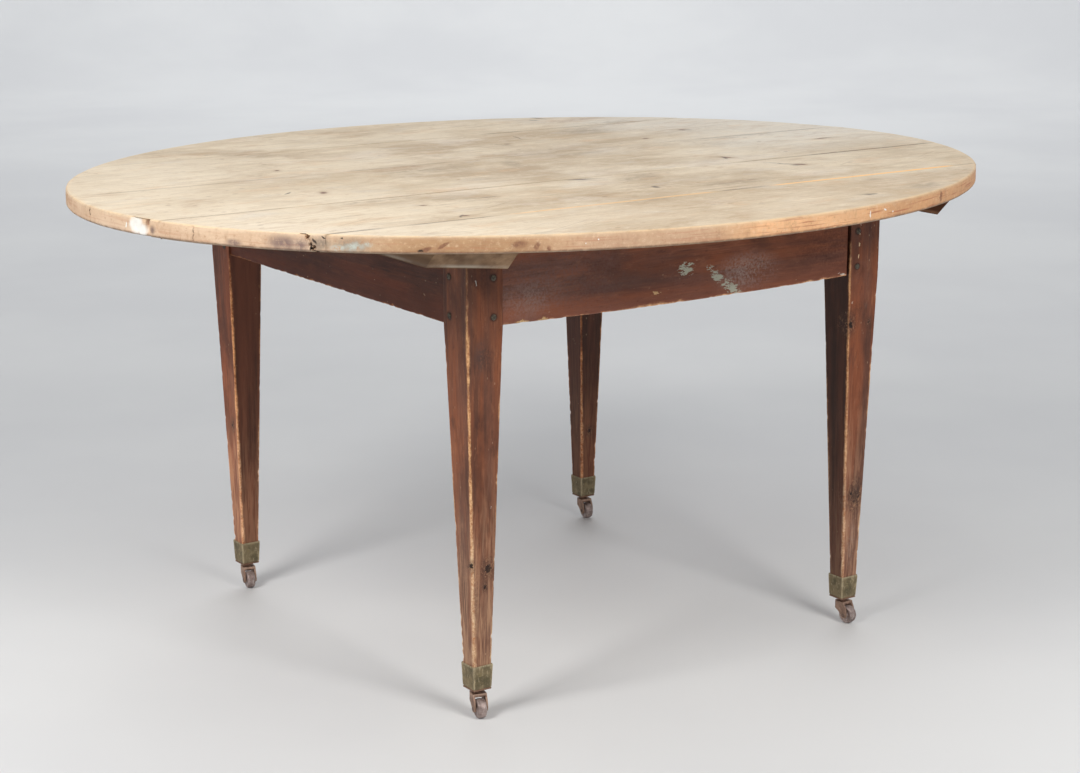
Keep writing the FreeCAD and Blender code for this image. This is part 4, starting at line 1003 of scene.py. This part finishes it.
LEG_KNOTS = {
    "front_left": [((-355, -386, 238), (9, 14, 13), 0.80), ((-360, -384, 211), (4, 12, 6), 0.92), ((-383, -386, 246), (4, 8, 7), 0.95)],
    "front_right": [((341, -398, 520), (7, 16, 13), 0.95), ((371, -386, 226), (15, 14, 22), 0.40), ((361, -386, 232), (5, 14, 6), 0.92), ((380, -397, 520), (3, 12, 4), 0.80)],
    "back_left": [((-380, 360, 300), (14, 6, 9), 0.80)],
    "back_right": [((364, 345, 180), (5, 14, 8), 0.85)],
}
# per-leg colour gains, partly the wood's tone and partly painted light and shade for how each leg is lit; LEG_SHADE
# scales the painted shade on the inner faces
LEG_TONE_AND_LIGHT = {"front_left": (1.12, 1.06, 0.98), "front_right": (1.04, 0.94, 0.88), "back_left": (1.44, 1.19, 1.03), "back_right": (1.25, 0.92, 0.72)}
LEG_SHADE = {"front_left": 1.0, "front_right": 0.76, "back_left": 1.52, "back_right": 1.14}
LEG_PAINT_AND_SHADE = {
    "front_left": [((-388, -398, 712), (1.5, 9, 5), (0, 0, 0), srgb(206, 200, 188), 0.9), ((-379, -398, 668), (1.3, 9, 7), (0, -12, 0), srgb(206, 204, 196), 0.9),
                   ((-352, -388, 330), (2, 12, 5), (0, 0, 0), srgb(210, 208, 200), 0.8), ((-372, -397, 560), (14, 9, 40), (0, 0, 0), srgb(92, 74, 70), 0.6),
                   # the second mark on the next line, the dark patch at height 692 near the top, is painted shade under
                   # the top
                   ((-362, -397, 556), (30, 9, 30), (0, 0, 0), srgb(58, 42, 38), 0.68), ((-364, -398, 692), (34, 9, 60), (0, 0, 0), srgb(60, 38, 32), 0.62),
                   ((-386, -367, 260), (9, 24, 150), (0, 0, 0), srgb(88, 62, 54), 0.5), ((-376, -388, 195), (8, 10, 105), (0, 0, 0), srgb(184, 150, 120), 0.66)],
    "front_right": [((352, -398, 650), (2.0, 10, 6), (0, 0, 0), srgb(232, 202, 160), 0.95), ((351, -398, 632), (1.6, 10, 5), (0, 0, 0), srgb(232, 202, 160), 0.95),
                    ((353, -398, 668), (1.6, 10, 4), (0, 0, 0), srgb(216, 190, 160), 0.9), ((354, -398, 682), (1.4, 10, 4), (0, 0, 0), srgb(206, 176, 150), 0.9),
                    ((354, -398, 545), (26, 10, 15), (0, -40, 0), srgb(40, 30, 27), 0.69), ((342, -397, 556), (3.5, 10, 1.6), (0, -40, 0), srgb(200, 184, 168), 0.8),
                    ((372, -397, 549), (7, 10, 8), (0, 0, 0), srgb(84, 70, 64), 0.6), ((360, -397, 530), (24, 10, 26), (0, -30, 0), srgb(66, 44, 38), 0.6),
                    ((370, -388, 236), (14, 12, 26), (0, 0, 0), srgb(74, 54, 46), 0.6), ((365, -386, 145), (16, 12, 62), (0, 0, 0), srgb(158, 138, 124), 0.66)],
    "back_left": [((-395, 352, 600), (10, 8, 10), (0, 0, 0), srgb(150, 130, 116), 0.4)],
    "back_right": [((349, 336, 640), (6, 10, 10), (0, 0, 0), srgb(130, 112, 100), 0.4)],
}
for i, leg in enumerate(LEGS):
    ob = leg_mesh(leg, i + 1)
    settle(ob, "leg_" + leg, "table",
           frame_pine("stained_pine_leg_" + leg, 3 + 2 * i, "z", LEG_KNOTS[leg], LEG_PAINT_AND_SHADE[leg], (), LEG_TONE_AND_LIGHT[leg], LEG_SHADE[leg],
                      [(sx * 349, sy * 398, z) for z in (615, 672) for sx, sy in (LEGS[leg],)] + [(sx * 395, sy * 352, z) for z in (615, 672) for sx, sy in (LEGS[leg],)]))


# ------------------------------------------------------------------ rails
def rail_mesh(name, along, a0, a1, outer, inner, seed, bow=0.0):
    """Loft along X or Y of a rounded board section; outer and inner are the face positions across."""
    g = np.random.default_rng(300 + seed)
    stations = np.unique(np.concatenate([[a0, a0 + 0.8, a0 + 2.0], np.arange(a0 + 5.0, a1 - 4.0, 5.0), [a1 - 2.0, a1 - 0.8, a1]]))
    s_out = 1.0 if outer > inner else -1.0
    chips = [(g.uniform(a0, a1), g.uniform(1.8, 6.0), g.uniform(0.3, 1.3)) for _ in range(34)]
    round_ob = 1.1 + 1.2 * fbm(np.stack([stations / 45.0, np.full_like(stations, 3.0), np.full_like(stations, seed)], 1), 91, 3)
    verts, wear, n = [], [], None
    for row, a in enumerate(stations):
        k = (a - a0) / (a1 - a0)
        zb = RAIL_BOTTOM - bow * 4.0 * k * (1 - k)
        zt = Z_UNDER
        r_ob = float(round_ob[row])
        ring, wr, nor = [], [], []
        t = abs(outer - inner)
        # section in (across, z), across measured outwards from the inner face, going round
        def arc(cu, cz, r, d0, d1, w):
            for i in range(5):
                d = math.radians(d0 + (d1 - d0) * i / 4.0)
                ring.append((cu + r * math.cos(d), cz + r * math.sin(d)))
                nor.append((math.cos(d), math.sin(d)))
                wr.append(w)
        def side(p, q, m, nv):
            for i in range(1, m + 1):
                f = 0.5 - 0.5 * math.cos(math.pi * i / (m + 1.0))
                ring.append((p[0] + (q[0] - p[0]) * f, p[1] + (q[1] - p[1]) * f))
                nor.append(nv)
                dd = math.hypot(ring[-1][0] - p[0], ring[-1][1] - p[1]) if nv == (1, 0) else 99.0
                wr.append(0.55 * math.exp(-dd / 3.0) if nv == (1, 0) else 0.0)
        ri, rt = 1.4, 0.5
        arc(t - r_ob, zb + r_ob, r_ob, -90, 0, 0.62)
        side((t, zb + r_ob), (t, zt - rt), 16, (1, 0))
        arc(t - rt, zt - rt, rt, 0, 90, 0.0)
        side((t - rt, zt), (rt, zt), 3, (0, 1))
        arc(rt, zt - rt, rt, 90, 180, 0.0)
        side((0, zt - rt), (0, zb + ri), 14, (-1, 0))
        arc(ri, zb + ri, ri, 180, 270, 0.25)
        side((ri, zb), (t - r_ob, zb), 4, (0, -1))
        ring, nor, wr = np.array(ring), np.array(nor), np.array(wr)
        n = len(ring)
        q = np.stack([np.full(n, a / 160.0), ring[:, 0] / 25.0, ring[:, 1] / 40.0], 1)
        inset = 0.4 * fbm(q, 101 + seed, 4) + 0.15 * fbm(np.stack([np.full(n, a / 50.0), ring[:, 0] / 5.0, ring[:, 1] / 5.0], 1), 111 + seed, 3)
        d_edge = np.hypot(ring[:, 0] - t, ring[:, 1] - zb)
        for c, l, d in chips:
            if abs(a - c) < 2.6 * l:
                b = math.exp(-((a - c) / l) ** 2)
                inset = inset + d * b * np.exp(-(d_edge / 3.0) ** 2)
                wr = wr + 0.7 * b * min(1.0, d / 1.4) * np.exp(-d_edge / 4.0)
        inset = np.where(nor[:, 1] > 0.5, inset * 0.1, inset)
        end = min(a - a0, a1 - a)
        ring = ring - nor * (inset + 0.5 * max(0.0, 1 - end / 1.2))[:, None]
        across = inner + s_out * ring[:, 0]
        if along == "x":
            verts.append(np.stack([np.full(n, a), across, ring[:, 1]], 1))
        else:
            verts.append(np.stack([across, np.full(n, a), ring[:, 1]], 1))
        wear.append(wr)
    v, wear = np.concatenate(verts), np.concatenate(wear)
    faces = loop_faces(len(stations), n)
    faces.append(tuple(range(n))[::-1])
    faces.append(tuple(range((len(stations) - 1) * n, len(stations) * n)))
    return v, faces, wear


INNER_X, INNER_Y = FRAME_X - LEG_TOP, FRAME_Y - LEG_TOP
OUT_X, OUT_Y = FRAME_X - RAIL_RECESS, FRAME_Y - RAIL_RECESS
_s, _c = math.sin(math.radians(12.0)), math.cos(math.radians(12.0))


def pocket(p, a):
    t = 34.0 / a[2]
    b = (p[0] - a[0] * t, p[1] - a[1] * t, p[2] - a[2] * t)
    return (b, (-a[0], -a[1], -a[2]), 70.0, 7.5)


RAIL_IN_Y, RAIL_IN_X = OUT_Y - RAIL_T, OUT_X - RAIL_T
RAILS = {
    "front": ("x", -INNER_X, INNER_X - 4.0, -OUT_Y, -RAIL_IN_Y, 4.0, [pocket((x, -RAIL_IN_Y - 10, Z_UNDER), (0, -_s, _c)) for x in (-210, 210)]),
    "back": ("x", -INNER_X, INNER_X, OUT_Y, RAIL_IN_Y, 0.0, [pocket((x, RAIL_IN_Y + 10, Z_UNDER), (0, _s, _c)) for x in (-210, 210)]),
    "left": ("y", -INNER_Y, INNER_Y, -OUT_X, -RAIL_IN_X, 0.0, [pocket((-RAIL_IN_X - 10, y, Z_UNDER), (-_s, 0, _c)) for y in (-255, -20, 255)]),
    "right": ("y", -INNER_Y, INNER_Y, OUT_X, RAIL_IN_X, 0.0, [pocket((RAIL_IN_X + 10, y, Z_UNDER), (_s, 0, _c)) for y in (-255, -20, 255)]),
}
SMEAR = srgb(192, 195, 176)
NONE = (0, 0, 0)
RAIL_PAINT = {
    "front": [((2, -395.5, 647), (20, 9, 14), NONE, SMEAR, 0.95), ((62, -395.5, 630), (32, 9, 10), (0, 42, 0), SMEAR, 0.92),
              ((88, -395.5, 611), (36, 9, 12), (0, 35, 0), SMEAR, 0.92), ((122, -395.5, 632), (84, 9, 38), NONE, srgb(202, 188, 182), 0.69), ((300, -395.5, 650), (130, 9, 66), NONE, srgb(74, 40, 31), 0.64),
              ((-250, -395.5, 650), (90, 9, 56), NONE, srgb(122, 98, 92), 0.60), ((-110, -395.5, 640), (110, 9, 24), NONE, srgb(112, 86, 78), 0.45),
              ((-290, -395.5, 632), (80, 9, 44), NONE, srgb(168, 138, 128), 0.67), ((318, -395.5, 605), (12, 9, 4), NONE, srgb(216, 208, 196), 0.85)],
    "back": [((-100, 395.5, 640), (120, 9, 30), NONE, srgb(130, 106, 94), 0.4)],
    "left": [((-392.5, -40, 660), (9, 120, 26), NONE, srgb(120, 88, 72), 0.35)],
    "right": [((392.5, 60, 650), (9, 120, 26), NONE, srgb(120, 88, 72), 0.35)],
}
# per-rail colour gains, partly tone and partly painted light: the left rail painted darker as it lies in shade, the
# front rail brighter
RAIL_TONE_AND_LIGHT = {"front": (1.30, 1.25, 1.28), "back": (1.1, 1.1, 1.1), "left": (0.66, 0.46, 0.32), "right": (1.0, 1.0, 1.0)}
RAIL_CHIPS = {"front": [((-55, -395.5, 616), (10, 8, 4)), ((-300, -395.5, 602), (14, 8, 3)), ((-262, -395.5, 601), (10, 8, 3))],
              "back": [], "left": [], "right": []}
for i, (side, (along, a0, a1, outer, inner, bow, holes)) in enumerate(RAILS.items()):
    v, faces, wear = rail_mesh(side, along, a0, a1, outer, inner, i + 1, bow)
    if side == "front":
        # bare tenon showing in the open shoulder joint
        mid, k = (outer + inner) / 2.0, len(v)
        bx = np.array([(x, y, z) for x in (a1 - 1.0, INNER_X) for y in (mid - 5, mid + 5) for z in (608.0, 706.0)])
        v, wear = np.concatenate([v, bx]), np.concatenate([wear, np.zeros(8)])
        faces += [tuple(k + j for j in f) for f in ((0, 1, 3, 2), (4, 6, 7, 5), (0, 4, 5, 1), (2, 3, 7, 6), (0, 2, 6, 4), (1, 5, 7, 3))]
    ob = build("rail_%s_worn" % side, v, faces, {"wear": wear})
    cut(ob, cylinders(holes))
    settle(ob, "rail_" + side, "table",
           frame_pine("stained_pine_rail_" + side, 21 + 3 * i, along, (), RAIL_PAINT[side], RAIL_CHIPS[side], RAIL_TONE_AND_LIGHT[side]))


# ------------------------------------------------------------------ battens under the top
for i, side in enumerate(("left", "right")):
    ob = rework("batten_" + side, 1.6, 2)
    # the right batten's gain darkens and reddens it, partly its tone and partly painted shade
    settle(ob, "batten_" + side, "table", raw_batten("raw_pine_batten_" + side, 5 + 4 * i, (1.0, 1.0, 1.0) if side == "left" else (0.62, 0.38, 0.26)))


# ------------------------------------------------------------------ castors
CUP = [(48.0, 30.8, 1.8), (49.6, 31.4, 1.8), (50.2, 30.2, 1.8), (51.4, 30.4, 1.8), (52.0, 31.6, 1.8), (86.5, 35.0, 2.2), (87.5, 34.2, 2.2)]


def cup_mesh(leg, seed):
    fx, fy = FOOT[leg]
    zz, sz, rr = (np.array(c) for c in zip(*CUP))
    zs = np.unique(np.concatenate([zz, np.linspace(52.0, 86.5, 13), [48.5, 86.9, 87.2]]))
    rings = [(z, float(np.interp(z, zz, sz)), float(np.interp(z, zz, rr)), 0) for z in zs]
    rings += [(87.5, 33.0, 2.3, 1), (87.0, 32.2, 2.2, 1), (80.0, 31.3, 2.2, 1), (53.0, 28.3, 2.0, 1)]
    verts, rub, n = [], [], None
    for z, s, r, inside in rings:
        p, nn, cor, w = square_ring(fx, fy, s / 2.0, [r * (0.42 + 0.3 * float(vnoise(np.array([[z / 14.0, c * 3.3, seed]]), 131)[0])) for c in range(4)], 9, 5)
        n = len(p)
        if not inside:
            q = np.stack([p[:, 0] / 9.0, p[:, 1] / 9.0, np.full(n, z / 11.0)], 1)
            d = 0.26 * fbm(q, 141 + seed, 3)
            lip = math.exp(-((z - 86.8) / 1.6) ** 2)
            d = d + lip * 0.6 * fbm(np.stack([p[:, 0] / 5.0, p[:, 1] / 5.0, np.full(n, 2.0)], 1), 151 + seed, 3)
            p = p - nn * d[:, None]
        rub.append(np.zeros(n) if inside else np.maximum(np.exp(-(w / 1.0) ** 2), lip * 0.8))
        verts.append(np.concatenate([p, np.full((n, 1), z)], 1))
    v = np.concatenate(verts)
    faces = loop_faces(len(rings), n)
    faces.append(tuple(range(n))[::-1])
    faces.append(tuple(range((len(rings) - 1) * n, len(rings) * n)))
    return build("castor_cup_%s_worn" % leg, v, faces, {"wear": np.concatenate(rub)}, sharp_deg=45.0)


def wheel_mesh(leg, seed):
    w, sh = WHEEL_W / 2.0, 3.0
    half = [(2.62, -w - 0.6), (3.6, -w - 0.6), (4.8, -w - 0.55), (5.15, -w - 0.25), (5.5, -w + 0.35), (6.2, -w + 0.6), (7.8, -w + 0.65),
            (9.4, -w + 0.6), (10.3, -w + 0.3), (10.9, -w + 0.02)]
    for k in range(1, 10):
        a = math.radians(-90.0 + 10.0 * k)
        half.append((WHEEL_R - 0.5 - sh + sh * math.cos(a), -w + sh + sh * math.sin(a)))
    for k in range(0, 6):
        h = -w + sh + (w - sh) * k / 6.0
        half.append((WHEEL_R - 0.5 * (h / (w - sh)) ** 2, h))
    prof = half + [(r, -h) for r, h in half[::-1]]
    prof.insert(len(half), (WHEEL_R, 0.0))
    seg = 72
    a = math.radians(CASTOR_DEG[leg])
    ca, sa = math.cos(a), math.sin(a)
    fx, fy = FOOT[leg]
    t = np.repeat(2 * math.pi * np.arange(seg) / seg, len(prof))
    r, ly = np.tile([q[0] for q in prof], seg), np.tile([q[1] for q in prof], seg)
    scuff = 0.16 * vnoise(np.stack([r * np.cos(t), ly, r * np.sin(t)], 1) / 2.4, 161 + seed) * (r > 10.0)
    lx, lz = (r - scuff) * np.cos(t), (r - scuff) * np.sin(t)
    verts = np.stack([fx + ca * (TRAIL + lx) - sa * ly, fy + sa * (TRAIL + lx) + ca * ly, DATUM + WHEEL_R + lz], 1)
    n = len(prof)
    faces = []
    for i in range(seg):
        j = (i + 1) % seg
        for k in range(n):
            q = (k + 1) % n
            faces.append((i * n + k, i * n + q, j * n + q, j * n + k))
    return build("castor_wheel_%s_worn" % leg, verts, faces, sharp_deg=50.0)


cup_mat = old_metal("cup_brass_olive", srgb(98, 88, 64), srgb(138, 122, 92), srgb(190, 174, 142), 1.0, 0.45, 0.42, 0.0, srgb(128, 88, 72))
horn_mat = old_metal("horn_brass_brown", srgb(92, 66, 54), srgb(148, 116, 98), srgb(196, 166, 146), 2.0, 0.5, 0.36, 0.30)
wheel_mat = old_metal("wheel_brass_worn", srgb(112, 94, 89), srgb(170, 151, 145), srgb(224, 212, 206), 3.0, 0.45, 0.32, 0.16)
iron_mat = old_metal("rivet_iron_dark", srgb(38, 32, 29), srgb(64, 54, 48), srgb(110, 100, 92), 4.0, 0.8, 0.40, 0.45)
screw_mat = old_metal("screw_iron_dull", srgb(52, 46, 42), srgb(84, 76, 68), srgb(128, 118, 108), 5.0, 0.8, 0.40, 0.40)
axle_mat = old_metal("axle_iron_brown", srgb(72, 54, 46), srgb(116, 92, 80), srgb(160, 138, 124), 7.0, 0.5, 0.40, 0.35)
brass_mat = old_metal("screw_brass_dull", srgb(80, 68, 44), srgb(120, 104, 70), srgb(160, 146, 112), 6.0, 0.75, 0.36)
for i, leg in enumerate(LEGS):
    settle(cup_mesh(leg, i + 1), "castor_cup_" + leg, "table", cup_mat)
    settle(wheel_mesh(leg, i + 1), "castor_wheel_" + leg, "wheel_" + leg, wheel_mat)
    settle(rework("castor_horn_" + leg, 0.55, 2), "castor_horn_" + leg, "horn_" + leg, horn_mat)

# ------------------------------------------------------------------ nodes whose own shape is right
peg_mat = small_wood("peg_oak_dusty", srgb(58, 52, 45), srgb(100, 92, 78), 1.0)
dowel_mat = small_wood("dowel_beech", srgb(150, 116, 80), srgb(178, 146, 106), 2.0)
keep = {"board_dowels": dowel_mat, "batten_screws_left": screw_mat, "batten_screws_right": screw_mat,
        "pocket_screws": screw_mat, "cup_screws": brass_mat}
for leg in LEGS:
    keep["pegs_" + leg] = peg_mat
    keep["castor_rivet_" + leg] = iron_mat
    keep["castor_axle_" + leg] = axle_mat
for name, mat in keep.items():
    ob = NODES[name]
    for s in ob.material_slots:
        s.material = mat
    if not ob.material_slots:
        ob.data.materials.append(mat)

# ------------------------------------------------------------------ studio: seamless pale floor, soft lights, camera
scene = bpy.context.scene
scene.view_settings.view_transform = "Standard"
scene.view_settings.look = "None"

floor_pts = [(0.0, 0.0), (2.0, 0.0), (4.0, 0.0), (6.0, 0.0), (8.0, 0.0)]
for k in range(1, 13):
    a = math.radians(90.0 * k / 12.0)
    floor_pts.append((8.0 + 4.0 * math.sin(a), 4.0 * (1 - math.cos(a))))
floor_pts.append((12.0, 6.0))
seg = 96
fv, ff = [(0.0, 0.0, 0.0)], []
for r, h in floor_pts[1:]:
    fv += [(r * math.cos(2 * math.pi * i / seg), r * math.sin(2 * math.pi * i / seg), h) for i in range(seg)]
ff += [(0, 1 + i, 1 + (i + 1) % seg) for i in range(seg)]
for k in range(len(floor_pts) - 2):
    b = 1 + k * seg
    ff += [(b + i, b + seg + i, b + seg + (i + 1) % seg, b + (i + 1) % seg) for i in range(seg)]
fm = bpy.data.meshes.new("studio_floor")
fm.from_pydata(fv, [], ff)
fm.shade_smooth()
floor = bpy.data.objects.new("studio_floor", fm)
scene.collection.objects.link(floor)
fn = Nodes("studio_floor_paint")
cloud = fn.noise(fn.at((0.7, 0.7, 0.7)), 4.0, 0.55)
grit = fn.noise(fn.at((160.0, 160.0, 160.0)), 3.0, 0.6)
fcol = fn.mix(fn.ramp(cloud, 0.35, 0.65), srgb(217, 217, 218), srgb(224, 224, 224))
fn.bump(grit, 0.08, 0.0006)
fm.materials.append(fn.finish(fcol, fn.add(0.55, fn.mul(cloud, 0.1)), 0.0, 0.2))

world = bpy.data.worlds.new("studio_world")
world.use_nodes = True
scene.world = world
bg = world.node_tree.nodes["Background"]
bg.inputs[0].default_value = (0.95, 0.975, 1.0, 1.0)
bg.inputs[1].default_value = 0.42


def lamp(name, loc, target, size, power, colour):
    d = bpy.data.lights.new(name, "AREA")
    d.shape, d.size, d.size_y = "RECTANGLE", size[0], size[1]
    d.energy, d.color = power, colour
    o = bpy.data.objects.new(name, d)
    o.location = loc
    o.rotation_mode = "QUATERNION"
    o.rotation_quaternion = (Vector(target) - Vector(loc)).to_track_quat("-Z", "Y")
    o.visible_camera = False
    scene.collection.objects.link(o)
    return o


lamp("key_left", (-2.5, -0.6, 2.3), (0.0, 0.0, 0.4), (1.0, 1.0), 52.0, (1.0, 0.985, 0.96))
lamp("key_right", (0.1, -2.9, 2.3), (0.0, 0.0, 0.4), (1.0, 1.0), 52.0, (1.0, 0.985, 0.96))
lamp("backdrop_wash", (5.0, 7.0, 6.5), (5.0, 7.0, 0.0), (8.0, 8.0), 360.0, (0.96, 0.98, 1.0))

cam_data = bpy.data.cameras.new("photo_camera")
cam_data.sensor_fit, cam_data.sensor_width = "HORIZONTAL", 36.0
cam_data.lens = 73.79
cam_data.shift_x, cam_data.shift_y = -0.0054, 0.0057
cam_data.clip_start, cam_data.clip_end = 0.05, 100.0
cam = bpy.data.objects.new("photo_camera", cam_data)
yaw, pitch = 0.60952, -0.23980
fwd = Vector((math.sin(yaw) * math.cos(pitch), math.cos(yaw) * math.cos(pitch), math.sin(pitch)))
cam.location = (-2.05548, -2.97146, 1.25453)
cam.rotation_mode = "QUATERNION"
cam.rotation_quaternion = fwd.to_track_quat("-Z", "Y")
scene.collection.objects.link(cam)
scene.camera = cam
